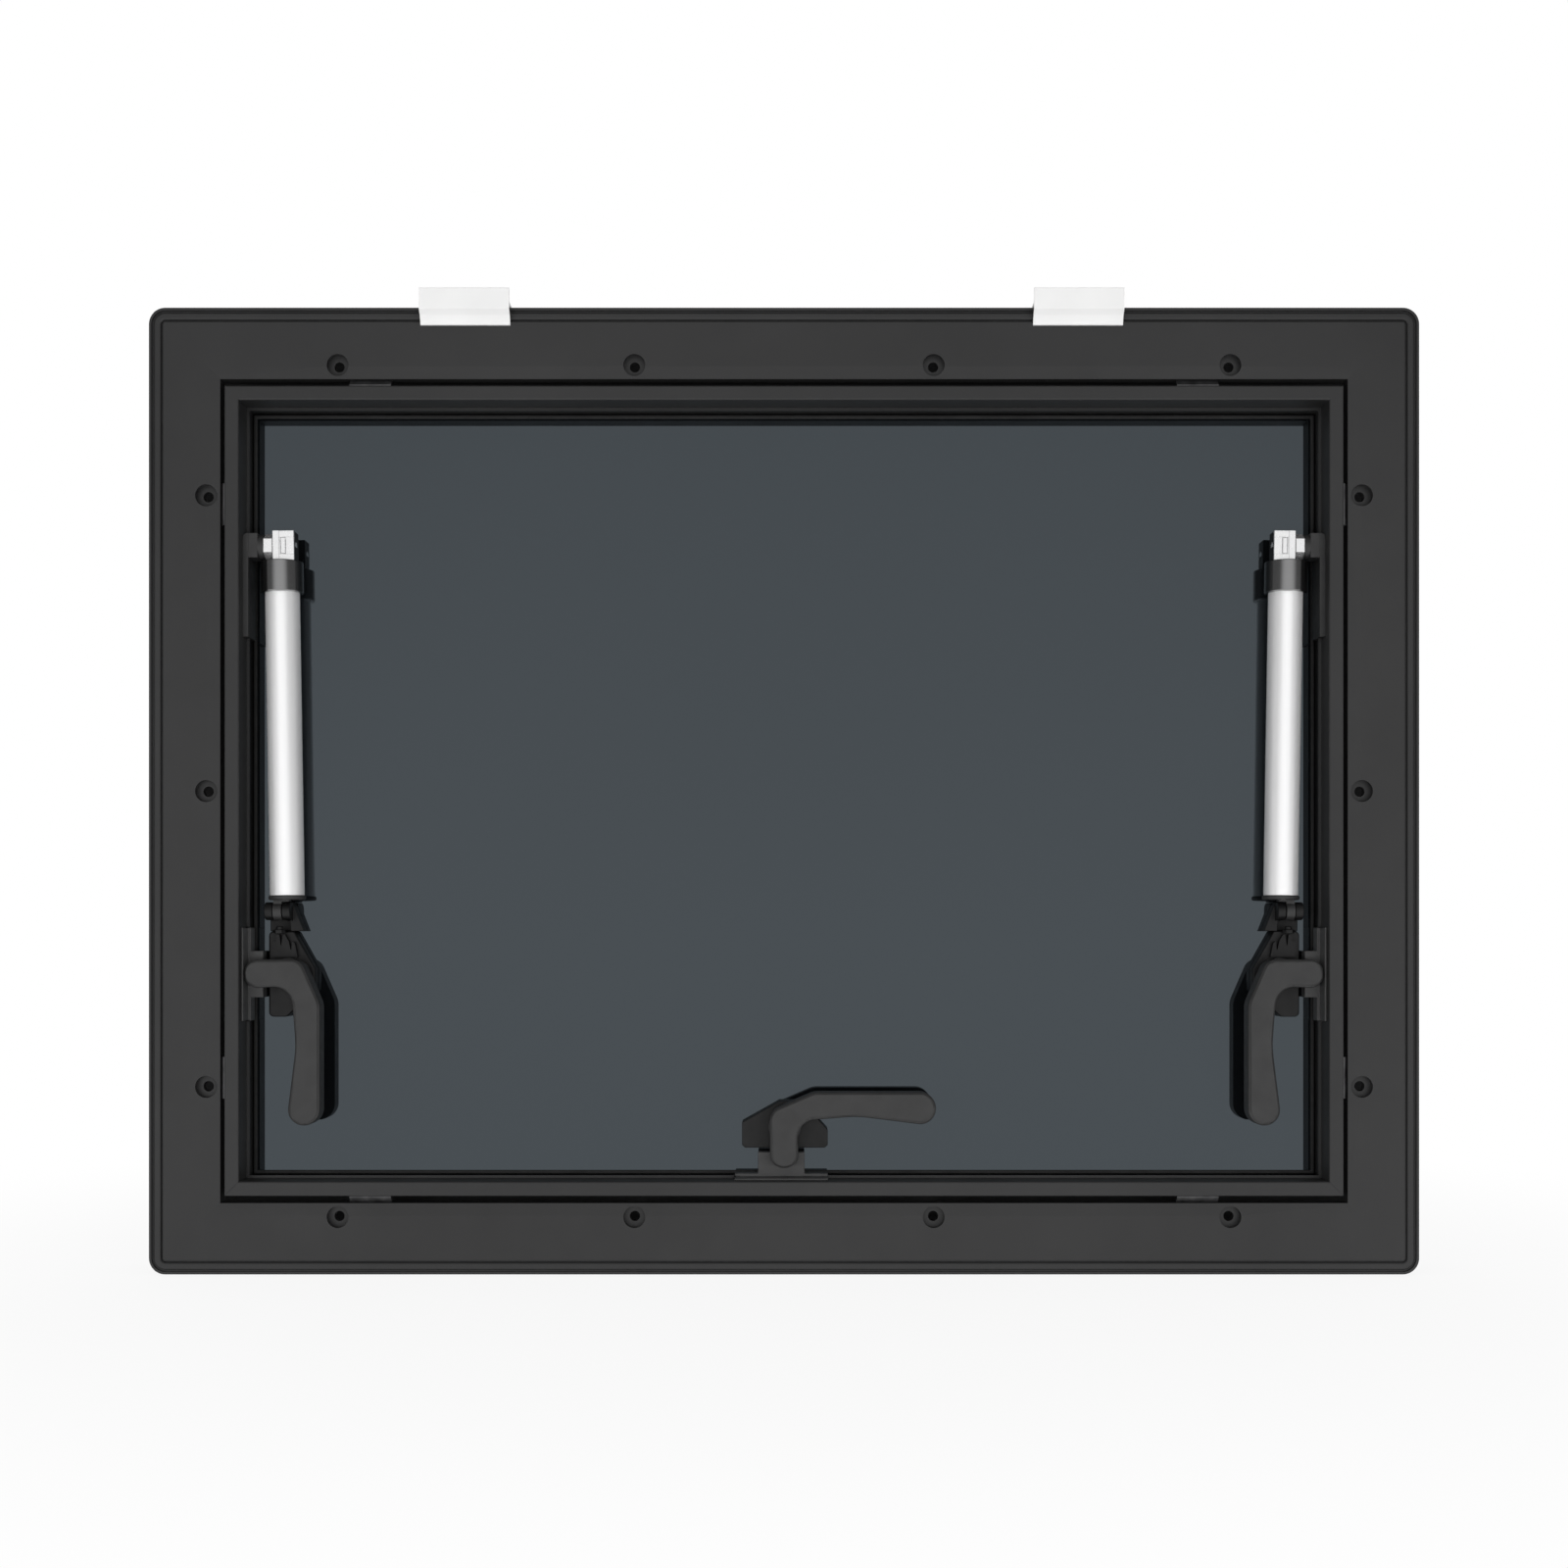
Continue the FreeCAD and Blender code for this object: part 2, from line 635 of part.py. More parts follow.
def build_glazing():
    """Build the two panes, the spacer between them and the rubber rings round them."""
    outer = new_body("outer_pane_body")
    sketch = new_sketch(outer, "XZ_Plane", f"-{OUTER_PANE_FAR}")
    add_rounded_rectangle(sketch, OUTER_PANE_WIDTH, PANE_BOTTOM, PANE_TOP, "pane_radius")
    pad(outer, sketch, "outer_pane")
    NODES["outer_pane"] = outer

    inner = new_body("inner_pane_body")
    sketch = new_sketch(inner, "XZ_Plane", "inner_pane_room_face - inner_pane")
    add_rectangle(sketch, INNER_PANE_WIDTH, INNER_PANE_HEIGHT)
    pad(inner, sketch, "inner_pane")
    NODES["inner_pane"] = inner

    spacer = new_body("pane_spacer_body")
    pane = (INNER_PANE_WIDTH, INNER_PANE_HEIGHT)
    hollow = (f"({INNER_PANE_WIDTH} - 2 * spacer_width)", f"({INNER_PANE_HEIGHT} - 2 * spacer_width)")
    ring_layer(spacer, pane, hollow, f"-{OUTER_PANE_NEAR}", "inner_pane_room_face - inner_pane")
    NODES["pane_spacer"] = spacer

    seal = new_body("sash_seal_body")
    outside = ("(opening_width - 2 * seal_side_gap)", "(opening_height - 2 * seal_side_gap)")
    inside = (
        "(opening_width - 2 * seal_side_gap - 2 * seal_width)",
        "(opening_height - 2 * seal_side_gap - 2 * seal_width)",
    )
    seal_end = "inner_pane_room_face + seal_height"
    last = ring_layer(seal, outside, inside, "inner_pane_room_face", seal_end)
    level = -number(seal_end)
    round_edges(seal, last, lambda edge: flat_at(edge, 1, level), "seal_width / 3")
    NODES["sash_seal"] = seal

    gasket = new_body("outer_gasket_body")
    inside = ("(opening_width + 2 * gasket_inset)", "(opening_height + 2 * gasket_inset)")
    outside = (
        "(opening_width + 2 * gasket_inset + 2 * gasket_width)",
        "(opening_height + 2 * gasket_inset + 2 * gasket_width)",
    )
    ring_layer(gasket, outside, inside, "-flange_thickness - gasket_height", "-flange_thickness")
    NODES["outer_gasket"] = gasket


def build_hinge():
    """Build the hinge along the top: a bead on the pane turning in a rail on the flange."""
    half = f"{OUTER_PANE_WIDTH} / 2"
    bar = new_body("hinge_bar_body")
    web_near = "hinge_y - hinge_web / 2"
    web_far = "hinge_y + hinge_web / 2"
    cap_top = f"{PANE_TOP} + hinge_cap"
    leg_far = f"{OUTER_PANE_FAR} + hinge_cap"
    corners = [
        (web_near, HINGE_Z),
        (web_near, cap_top),
        (OUTER_PANE_NEAR, cap_top),
        (OUTER_PANE_NEAR, PANE_TOP),
        (OUTER_PANE_FAR, PANE_TOP),
        (OUTER_PANE_FAR, f"{PANE_TOP} - hinge_leg"),
        (leg_far, f"{PANE_TOP} - hinge_leg"),
        (leg_far, cap_top),
        (web_far, cap_top),
        (web_far, HINGE_Z),
    ]
    slab(bar, "YZ_Plane", corners, f"-{half}", half)
    disc(bar, "YZ_Plane", "hinge_y", HINGE_Z, "hinge_bead", f"-{half}", half)
    NODES["hinge_bar"] = bar

    rail = new_body("hinge_rail_body")
    front = "hinge_y + rail_half"
    lip = "flange_thickness + rail_lip_thickness"
    corners = [
        ("flange_thickness", f"{HINGE_Z} + rail_lip"),
        ("flange_thickness", f"{HINGE_Z} - rail_half"),
        ("hinge_y - rail_half * tan(mouth_back * 1deg)", f"{HINGE_Z} - rail_half"),
        ("hinge_y", HINGE_Z),
        (front, f"{HINGE_Z} - rail_half / tan(mouth_front * 1deg)"),
        (front, f"{HINGE_Z} + rail_half"),
        (lip, f"{HINGE_Z} + rail_half"),
        (lip, f"{HINGE_Z} + rail_lip"),
    ]
    slab(rail, "YZ_Plane", corners, f"-{half}", half)
    cut_discs(rail, "YZ_Plane", [("hinge_y", HINGE_Z)], "hinge_bore", f"-{half}", half)
    NODES["hinge_rail"] = rail


def lean_with_stay(body, side):
    """Move a piece drawn about the stay's top pivot to its place, leaning along the stay."""
    sign = "-" if side == LEFT else ""
    axis = FreeCAD.Vector(number(STAY_RUN), number(f"{sign}stay_splay"), 0)
    body.Placement = FreeCAD.Placement(FreeCAD.Vector(), FreeCAD.Rotation(axis, 1))
    body.setExpression("Placement.Base.x", bound(f"{sign}{STAY_X}"))
    body.setExpression("Placement.Base.y", bound(f"-{STAY_TOP_Y}"))
    body.setExpression("Placement.Base.z", bound(STAY_TOP_Z))
    body.setExpression("Placement.Rotation.Angle", bound(STAY_LEAN))


def build_stay_bracket(side, name):
    """Build the bracket on the collar that carries one stay's bolt."""
    bracket = new_body(f"stay_bracket_{name}_body")
    wall = "opening_width / 2"
    plate_face = f"{wall} - bracket_thickness"
    low = f"{STAY_TOP_Z} - bracket_below"
    high = f"{STAY_TOP_Z} + bracket_arm / 2"
    start, end = mirrored(side, plate_face, wall)
    slab(bracket, "YZ_Plane", box("-bracket_front", "-bracket_back", low, high), start, end)
    arm_low = f"{STAY_TOP_Z} - bracket_arm / 2"
    arm_front = f"-{STAY_TOP_Y} - bracket_arm_depth / 2"
    arm_back = f"-{STAY_TOP_Y} + bracket_arm_depth / 2"
    start, end = mirrored(side, f"{NUT_FAR} + bracket_boss", plate_face)
    last = slab(bracket, "YZ_Plane", box(arm_front, arm_back, arm_low, high), start, end)
    sign = -1 if side == LEFT else 1
    outer = FreeCAD.Vector(sign * number(wall), 0, number(high))
    round_edges(bracket, last, lambda edge: stands_at(edge, outer), "bracket_corner")
    start, end = mirrored(side, NUT_FAR, f"{NUT_FAR} + bracket_boss")
    disc(bracket, "YZ_Plane", f"-{STAY_TOP_Y}", STAY_TOP_Z, "bracket_arm", start, end)
    start, end = mirrored(side, f"{wall} - bead_proud - fit_gap", wall)
    groove_front = f"-({RIM} - bead_from_rim + fit_gap)"
    groove_back = f"-({RIM} - bead_from_rim - bead_width - fit_gap)"
    groove = box(groove_front, groove_back, f"{low} - fit_gap", f"{high} + fit_gap")
    cut_slab(bracket, "YZ_Plane", groove, start, end)
    NODES[f"stay_bracket_{name}"] = bracket

    bolt = new_body(f"stay_bolt_{name}_body")
    start, end = mirrored(side, f"{CLAMP_FAR} + fit_gap", NUT_FAR)
    hexagon = []
    for corner in range(6):
        turn = f"({30 + 60 * corner} * 1deg)"
        reach = "nut_across / 2 / cos(30 * 1deg)"
        across = f"-{STAY_TOP_Y} + {reach} * cos({turn})"
        hexagon.append((across, f"{STAY_TOP_Z} + {reach} * sin({turn})"))
    slab(bolt, "YZ_Plane", hexagon, start, end)
    start, end = mirrored(side, CLAMP_NEAR, NUT_FAR)
    disc(bolt, "YZ_Plane", f"-{STAY_TOP_Y}", STAY_TOP_Z, "bolt_diameter", start, end)
    NODES[f"stay_bolt_{name}"] = bolt


def build_stay_tube(side, name):
    """Build one stay's clamp, cap, tube and end ring about its top pivot."""
    clamp = new_body(f"stay_clamp_{name}_body")
    deep = "clamp_depth / 2"
    shift = "clamp_shift" if side == LEFT else "-clamp_shift"
    start = f"{shift} - clamp_width / 2"
    end = f"{shift} + clamp_width / 2"
    block = box(f"-{deep}", deep, "-cap_start", "cap_start")
    slab(clamp, "YZ_Plane", block, start, end)
    cut_discs(clamp, "YZ_Plane", [("0", "0")], "bolt_bore", start, end)
    slot_near = f"{shift} - clamp_slot / 2"
    slot_far = f"{shift} + clamp_slot / 2"
    window = box(slot_near, slot_far, "-clamp_slot_height / 2", "clamp_slot_height / 2")
    cut_slab(clamp, "XZ_Plane", window, "0", deep)
    lean_with_stay(clamp, side)
    NODES[f"stay_clamp_{name}"] = clamp

    cap = new_body(f"stay_cap_{name}_body")
    disc(cap, "XY_Plane", "0", "0", "cap_diameter", "-cap_end", "-cap_start")
    cut_discs(cap, "XY_Plane", [("0", "0")], "cap_bore", "-cap_end", "-tube_start")
    lean_with_stay(cap, side)
    NODES[f"stay_cap_{name}"] = cap

    tube = new_body(f"stay_tube_{name}_body")
    sketch = new_sketch(tube, "XY_Plane", f"-{TUBE_END}")
    add_circle(sketch, "0", "0", "tube_diameter")
    add_circle(sketch, "0", "0", "tube_bore")
    pad(tube, sketch, f"{TUBE_END} - tube_start")
    lean_with_stay(tube, side)
    NODES[f"stay_tube_{name}"] = tube

    ring = new_body(f"stay_end_{name}_body")
    sketch = new_sketch(ring, "XY_Plane", f"-{TUBE_END} - end_ring_length")
    add_circle(sketch, "0", "0", "end_ring_diameter")
    add_circle(sketch, "0", "0", "tube_bore")
    pad(ring, sketch, "end_ring_length")
    lean_with_stay(ring, side)
    NODES[f"stay_end_{name}"] = ring


def build_stay_rod(side, name):
    """Build the rod that one stay's tube slides over, with its flat eye set to the outside."""
    sign = "-" if side == LEFT else ""
    rod = new_body(f"stay_rod_{name}_body")
    eye = f"-{STAY_LENGTH}"
    half = "rod_diameter / 2"
    start, end = mirrored(side, "eye_shift - eye_thickness / 2", "eye_shift + eye_thickness / 2")
    neck_end = f"{eye} + cheek_diameter / 2 + neck_length"
    disc(rod, "YZ_Plane", "0", eye, "eye_diameter", start, end)
    slab(rod, "YZ_Plane", box(f"-{half}", half, eye, neck_end), start, end)
    near, far = mirrored(side, f"rod_shift - {half}", "eye_shift + eye_thickness / 2")
    shoulder = box(f"-{half}", half, f"{neck_end} - shoulder_height", neck_end)
    slab(rod, "YZ_Plane", shoulder, near, far)
    bar_start = f"{neck_end} - fit_gap"
    disc(rod, "XY_Plane", f"{sign}rod_shift", "0", "rod_diameter", bar_start, f"{eye} + rod_length")
    cut_discs(rod, "YZ_Plane", [("0", eye)], "eye_bore", start, end)
    lean_with_stay(rod, side)
    NODES[f"stay_rod_{name}"] = rod


def build_stay_foot(side, name):
    """Build the foot on the glass that holds one stay's rod between two cheeks."""
    foot = new_body(f"stay_foot_{name}_body")
    rod_x = f"({STAY_X} - stay_splay + eye_shift)"
    axis_y = f"-{STAY_FOOT_Y}"
    inner_gap = "(eye_thickness / 2 + cheek_gap)"
    outer_gap = f"({inner_gap} + cheek_thickness)"
    base_top = f"({LATCH_SIDE_Z} + base_length / 2)"
    glass = "-inner_pane_room_face"
    pad_front = f"{glass} - foot_pad"
    start, end = mirrored(side, f"{rod_x} - {outer_gap}", f"{rod_x} + {outer_gap}")
    slab(foot, "YZ_Plane", box(pad_front, glass, base_top, f"{STAY_FOOT_Z} + foot_above"), start, end)
    for near, far in ((inner_gap, outer_gap), (f"-{outer_gap}", f"-{inner_gap}")):
        start, end = mirrored(side, f"{rod_x} + {near}", f"{rod_x} + {far}")
        low = f"{STAY_FOOT_Z} - cheek_diameter / 2"
        high = f"{STAY_FOOT_Z} + cheek_diameter / 2"
        slab(foot, "YZ_Plane", box(axis_y, pad_front, low, high), start, end)
        disc(foot, "YZ_Plane", axis_y, STAY_FOOT_Z, "cheek_diameter", start, end)
    start, end = mirrored(side, f"{rod_x} - {outer_gap}", f"{rod_x} + {outer_gap}")
    disc(foot, "YZ_Plane", axis_y, STAY_FOOT_Z, "pin_diameter", start, end)
    sign = "-" if side == LEFT else ""
    arm = [
        (f"{sign}({rod_x} - {inner_gap} - cheek_thickness / 2)", f"{STAY_FOOT_Z} - foot_arm_drop"),
        (f"{sign}({rod_x} - {outer_gap})", f"{STAY_FOOT_Z} + foot_arm_drop"),
        (f"{sign}({rod_x} - {outer_gap} - foot_arm_splay)", base_top),
        (f"{sign}({rod_x} - {inner_gap} - foot_arm_splay / 2)", base_top),
    ]
    slab(foot, "XZ_Plane", arm, "inner_pane_room_face", f"{STAY_FOOT_Y} - foot_arm_drop")
    NODES[f"stay_foot_{name}"] = foot


def left_latch(u, v):
    """Place a latch point for the left side: u toward the glass, v up."""
    return f"-{LATCH_SIDE_X} + ({u})", f"{LATCH_SIDE_Z} + ({v})"


def right_latch(u, v):
    """Place a latch point for the right side, as the left one's mirror image."""
    return f"{LATCH_SIDE_X} - ({u})", f"{LATCH_SIDE_Z} + ({v})"


def bottom_latch(u, v):
    """Place a latch point for the bottom, as the left one a quarter turn on."""
    return f"latch_bottom_x - ({v})", f"{LATCH_BOTTOM_Z} + ({u})"


def bottom_keeper(u, v):
    """Place a point of the bottom keeper, which sits a little to the left of its latch."""
    x, z = bottom_latch(u, v)
    return f"{x} - keeper_bottom_shift", z


HANDLE_CORNERS = [
    ("-nose_reach", "nose_top", "nose_radius"),
    ("shoulder_reach", "nose_top", "shoulder_radius"),
    ("lever_outer", "-elbow_drop", "elbow_radius"),
    ("lever_outer", "-lever_length", "lever_tip_radius"),
    ("lever_tip_inner", "-lever_length", "lever_heel_radius"),
    ("waist_inner", "-waist_drop", "waist_radius"),
    ("crotch_inner", "-crotch_drop", "crotch_radius"),
    ("-nose_reach", "-nose_bottom", "nose_radius"),
]


def build_latch(name, placed):
    """Build one turning latch: the base on the glass and the handle with its nose."""
    glass = "inner_pane_room_face"
    base = new_body(f"latch_base_{name}_body")
    outline = [
        placed("-base_wall_side", "base_length / 2 - base_wall_chamfer"),
        placed("-base_wall_side", "-base_length / 2 + base_wall_chamfer"),
        placed("-base_wall_side + base_wall_chamfer", "-base_length / 2"),
        placed("base_glass_side - base_end_rise", "-base_length / 2"),
        placed("base_glass_side", "-base_length / 2 + base_end_run"),
        placed("base_glass_side", "base_length / 2 - base_taper_run"),
        placed("base_glass_side - base_taper_rise", "base_length / 2"),
        placed("-base_wall_side + base_wall_chamfer", "base_length / 2"),
    ]
    slab(base, "XZ_Plane", outline, glass, "base_top")
    back = "(handle_front - handle_thickness)"
    bore_end = f"{back} + pivot_depth"
    pivot_end = f"{bore_end} - pivot_end_gap"
    hub_start = "base_top + hub_gap"
    disc(base, "XZ_Plane", *placed("0", "0"), "pivot_diameter", "base_top", pivot_end)
    NODES[f"latch_base_{name}"] = base

    handle = new_body(f"handle_{name}_body")
    corners = [placed(u, v) for u, v, radius in HANDLE_CORNERS]
    last = slab(handle, "XZ_Plane", corners, back, "handle_front")
    for (u, v, radius), (x, z) in zip(HANDLE_CORNERS, corners):
        spot = FreeCAD.Vector(number(x), 0, number(z))
        last = round_edges(handle, last, lambda edge: stands_at(edge, spot), radius)
    front = -number("handle_front")
    round_edges(handle, last, lambda edge: flat_at(edge, 1, front), "handle_edge")
    disc(handle, "XZ_Plane", *placed("0", "0"), "hub_diameter", hub_start, back)
    cut_discs(handle, "XZ_Plane", [placed("0", "0")], "pivot_bore", hub_start, bore_end)
    NODES[f"handle_{name}"] = handle


def stands_at(edge, spot):
    """Say whether an edge runs straight along Y over one spot of the XZ plane."""
    ends = [vertex.Point for vertex in edge.Vertexes]
    if len(ends) != 2:
        return False
    return all(math.hypot(end.x - spot.x, end.z - spot.z) < 1e-3 for end in ends)


def build_keeper(name, placed, wall):
    """Build the block on the frame that the latch nose pulls against."""
    keeper = new_body(f"keeper_{name}_body")
    half = "keeper_plate_length / 2"
    short = "keeper_block_length / 2"
    plate_face = f"(-({wall}) + keeper_plate)"
    plate = [
        placed(f"-({wall})", f"-{half}"),
        placed(plate_face, f"-{half}"),
        placed(plate_face, half),
        placed(f"-({wall})", half),
    ]
    slab(keeper, "XZ_Plane", plate, "keeper_back", "keeper_front")
    block = [
        placed(plate_face, f"-{short}"),
        placed("-keeper_from_pivot", f"-{short}"),
        placed("-keeper_from_pivot", short),
        placed(plate_face, short),
    ]
    slab(keeper, "XZ_Plane", block, "keeper_back", "keeper_front")
    strip_face = f"(-({wall}) + keeper_strip)"
    strip = [
        placed(f"-({wall})", f"-{half}"),
        placed(strip_face, f"-{half}"),
        placed(strip_face, half),
        placed(f"-({wall})", half),
    ]
    slab(keeper, "XZ_Plane", strip, "keeper_front", "keeper_front + keeper_strip_depth")
    groove_face = f"(-({wall}) + bead_proud + fit_gap)"
    groove = [
        placed(f"-({wall})", f"-{half} - fit_gap"),
        placed(groove_face, f"-{half} - fit_gap"),
        placed(groove_face, f"{half} + fit_gap"),
        placed(f"-({wall})", f"{half} + fit_gap"),
    ]
    groove_front = f"{RIM} - bead_from_rim + fit_gap"
    groove_back = f"{RIM} - bead_from_rim - bead_width - fit_gap"
    cut_slab(keeper, "XZ_Plane", groove, groove_back, groove_front)
    NODES[f"keeper_{name}"] = keeper


def build_edge_clip(name, across):
    """Build one white clip hooked over the trim's top edge."""
    clip = new_body(f"edge_clip_{name}_body")
    edge = f"({CENTRE} + {TRIM_OUTER_HEIGHT} / 2)"
    face = f"-{TRIM_FACE}"
    tab = f"{face} - edge_clip_flare"
    low = f"{edge} - edge_clip_below"
    top = f"{edge} + edge_clip_above"
    hook_end = "-wall_thickness - edge_clip_thickness"
    corners = [
        (face, low),
        (face, f"{low} + edge_clip_lip"),
        (tab, edge),
        (hook_end, edge),
        (hook_end, f"{edge} + edge_clip_thickness"),
        (tab, f"{edge} + edge_clip_thickness"),
        (tab, top),
        (f"{tab} - edge_clip_thickness", top),
        (f"{tab} - edge_clip_thickness", edge),
        (f"{face} - edge_clip_thickness", f"{low} + edge_clip_lip - edge_clip_thickness / 2"),
        (f"{face} - edge_clip_thickness", low),
    ]
    start = f"{across} - edge_clip_width / 2"
    end = f"{across} + edge_clip_width / 2"
    last = slab(clip, "YZ_Plane", corners, start, end)
    level = number(top)
    inside = number(f"{tab} - edge_clip_thickness")
    outside = number(tab)
    round_edges(clip, last, lambda edge: crosses(edge, level, inside, outside), "edge_clip_corner")
    NODES[f"edge_clip_{name}"] = clip


def crosses(edge, level, front, back):
    """Say whether an edge runs straight along Y between two depths at one height."""
    limits = edge.BoundBox
    spans = abs(limits.YMin - front) < 1e-4 and abs(limits.YMax - back) < 1e-4
    return spans and flat_at(edge, 2, level) and limits.XLength < 1e-4


build_outer_frame()
build_inner_trim()
build_trim_clips()
build_glazing()
build_hinge()
for stay_side, stay_name in ((LEFT, "left"), (RIGHT, "right")):
    build_stay_bracket(stay_side, stay_name)
    build_stay_tube(stay_side, stay_name)
    build_stay_rod(stay_side, stay_name)
    build_stay_foot(stay_side, stay_name)
build_latch("left", left_latch)
build_latch("right", right_latch)
build_latch("bottom", bottom_latch)
build_keeper("left", left_latch, "latch_side_inset")
build_keeper("right", right_latch, "latch_side_inset")
build_keeper("bottom", bottom_keeper, "latch_bottom_rise")
build_edge_clip("left", "-edge_clip_left_x")
build_edge_clip("right", "edge_clip_right_x")
doc.recompute()

for item in doc.Objects:
    if "Invalid" in item.State or "Error" in item.State:
        raise RuntimeError(f"{item.Name} did not build: {item.State}")

os.makedirs("parts", exist_ok=True)
for name, item in NODES.items():
    if item.Shape.isNull() or not item.Shape.isValid() or not item.Shape.Solids:
        raise RuntimeError(f"{name} has no valid solid")
    item.Shape.exportStep(f"parts/{name}.step")
    limits = item.Shape.BoundBox
    low = [round(value, 1) for value in (limits.XMin, limits.YMin, limits.ZMin)]
    high = [round(value, 1) for value in (limits.XMax, limits.YMax, limits.ZMax)]
    print(name, len(item.Shape.Solids), low, high)
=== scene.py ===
"""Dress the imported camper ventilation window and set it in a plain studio."""

import logging
import math
from abc import ABC, abstractmethod
from collections.abc import Callable, Sequence
from dataclasses import dataclass
from enum import Enum

import bmesh
import bpy
from mathutils import Matrix, Vector


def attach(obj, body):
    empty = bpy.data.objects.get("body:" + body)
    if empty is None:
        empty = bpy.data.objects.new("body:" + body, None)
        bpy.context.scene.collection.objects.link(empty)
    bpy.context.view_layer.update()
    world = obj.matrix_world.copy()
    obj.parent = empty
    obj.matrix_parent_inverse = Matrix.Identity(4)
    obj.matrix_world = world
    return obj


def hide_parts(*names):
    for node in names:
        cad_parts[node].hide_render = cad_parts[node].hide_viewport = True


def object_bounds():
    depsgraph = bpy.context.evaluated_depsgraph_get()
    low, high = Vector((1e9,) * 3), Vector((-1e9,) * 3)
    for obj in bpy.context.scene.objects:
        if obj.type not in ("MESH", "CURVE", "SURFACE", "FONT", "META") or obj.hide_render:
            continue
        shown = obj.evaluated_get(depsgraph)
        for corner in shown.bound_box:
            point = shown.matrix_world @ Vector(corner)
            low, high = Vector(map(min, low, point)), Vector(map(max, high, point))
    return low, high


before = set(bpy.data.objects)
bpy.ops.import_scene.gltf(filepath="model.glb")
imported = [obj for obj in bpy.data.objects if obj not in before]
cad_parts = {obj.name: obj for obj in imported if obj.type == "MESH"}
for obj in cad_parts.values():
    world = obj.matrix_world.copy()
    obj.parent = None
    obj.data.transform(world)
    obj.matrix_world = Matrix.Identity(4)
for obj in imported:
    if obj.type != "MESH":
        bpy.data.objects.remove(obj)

LOG = logging.getLogger("window")
CAD_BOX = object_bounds()

# One millimetre in the scene's metres. Shapes are drawn in millimetres.
MM = 0.001

# The window's middle height above the origin, in millimetres.
CENTRE_Z = 242.0

# The least turn of an edge that counts as sharp, in degrees.
SHARP_ANGLE = 38.0

# The part of a noise pattern's range that a finish spreads over.
PATTERN_LOW = 0.3
PATTERN_HIGH = 0.7

# Points of a copied solid, and of a turned piece, that count as one, in millimetres.
SOLID_MERGE = 0.004
TURNED_MERGE = 0.001

# Neighbouring faces of a copied solid that count as one flat face, in degrees.
FLAT_ANGLE = 0.4

Colour = tuple[float, float, float]


class Slot(Enum):
    """The record's material slots."""

    BLACK_ALUMINIUM = "black_aluminium"
    BLACK_PLASTIC = "black_plastic"
    SMOKED_ACRYLIC = "smoked_acrylic"
    RUBBER = "rubber"
    BRIGHT_ALUMINIUM = "bright_aluminium"
    STEEL = "steel"
    DARK_STEEL = "dark_steel"
    WHITE_PLASTIC = "white_plastic"


class Hand(Enum):
    """The side of the window that a stay stands on."""

    LEFT = "left"
    RIGHT = "right"

    @property
    def sign(self) -> float:
        """Return the sign of X on this side."""
        return -1.0 if self is Hand.LEFT else 1.0


class Place(Enum):
    """The side of the window that a latch locks."""

    LEFT = "left"
    RIGHT = "right"
    BOTTOM = "bottom"


class Drawing(Enum):
    """The plane that an outline is drawn in."""

    FRONT = "front"
    SIDE = "side"
    FLOOR = "floor"

    def point(self, u: float, v: float, level: float) -> Vector:
        """Place a point of the drawing.

        Args:
            u: The drawing's first axis: X, or Y in a side drawing.
            v: The drawing's second axis: Z, or Y in a floor drawing.
            level: The distance along the third axis.

        Returns:
            The point in the window's frame.
        """
        if self is Drawing.FRONT:
            return Vector((u, level, v))
        if self is Drawing.SIDE:
            return Vector((level, u, v))
        return Vector((u, v, level))


@dataclass(frozen=True)
class Corner:
    """A corner of an outline, with the radius that rounds it."""

    u: float
    v: float
    radius: float = 0.0


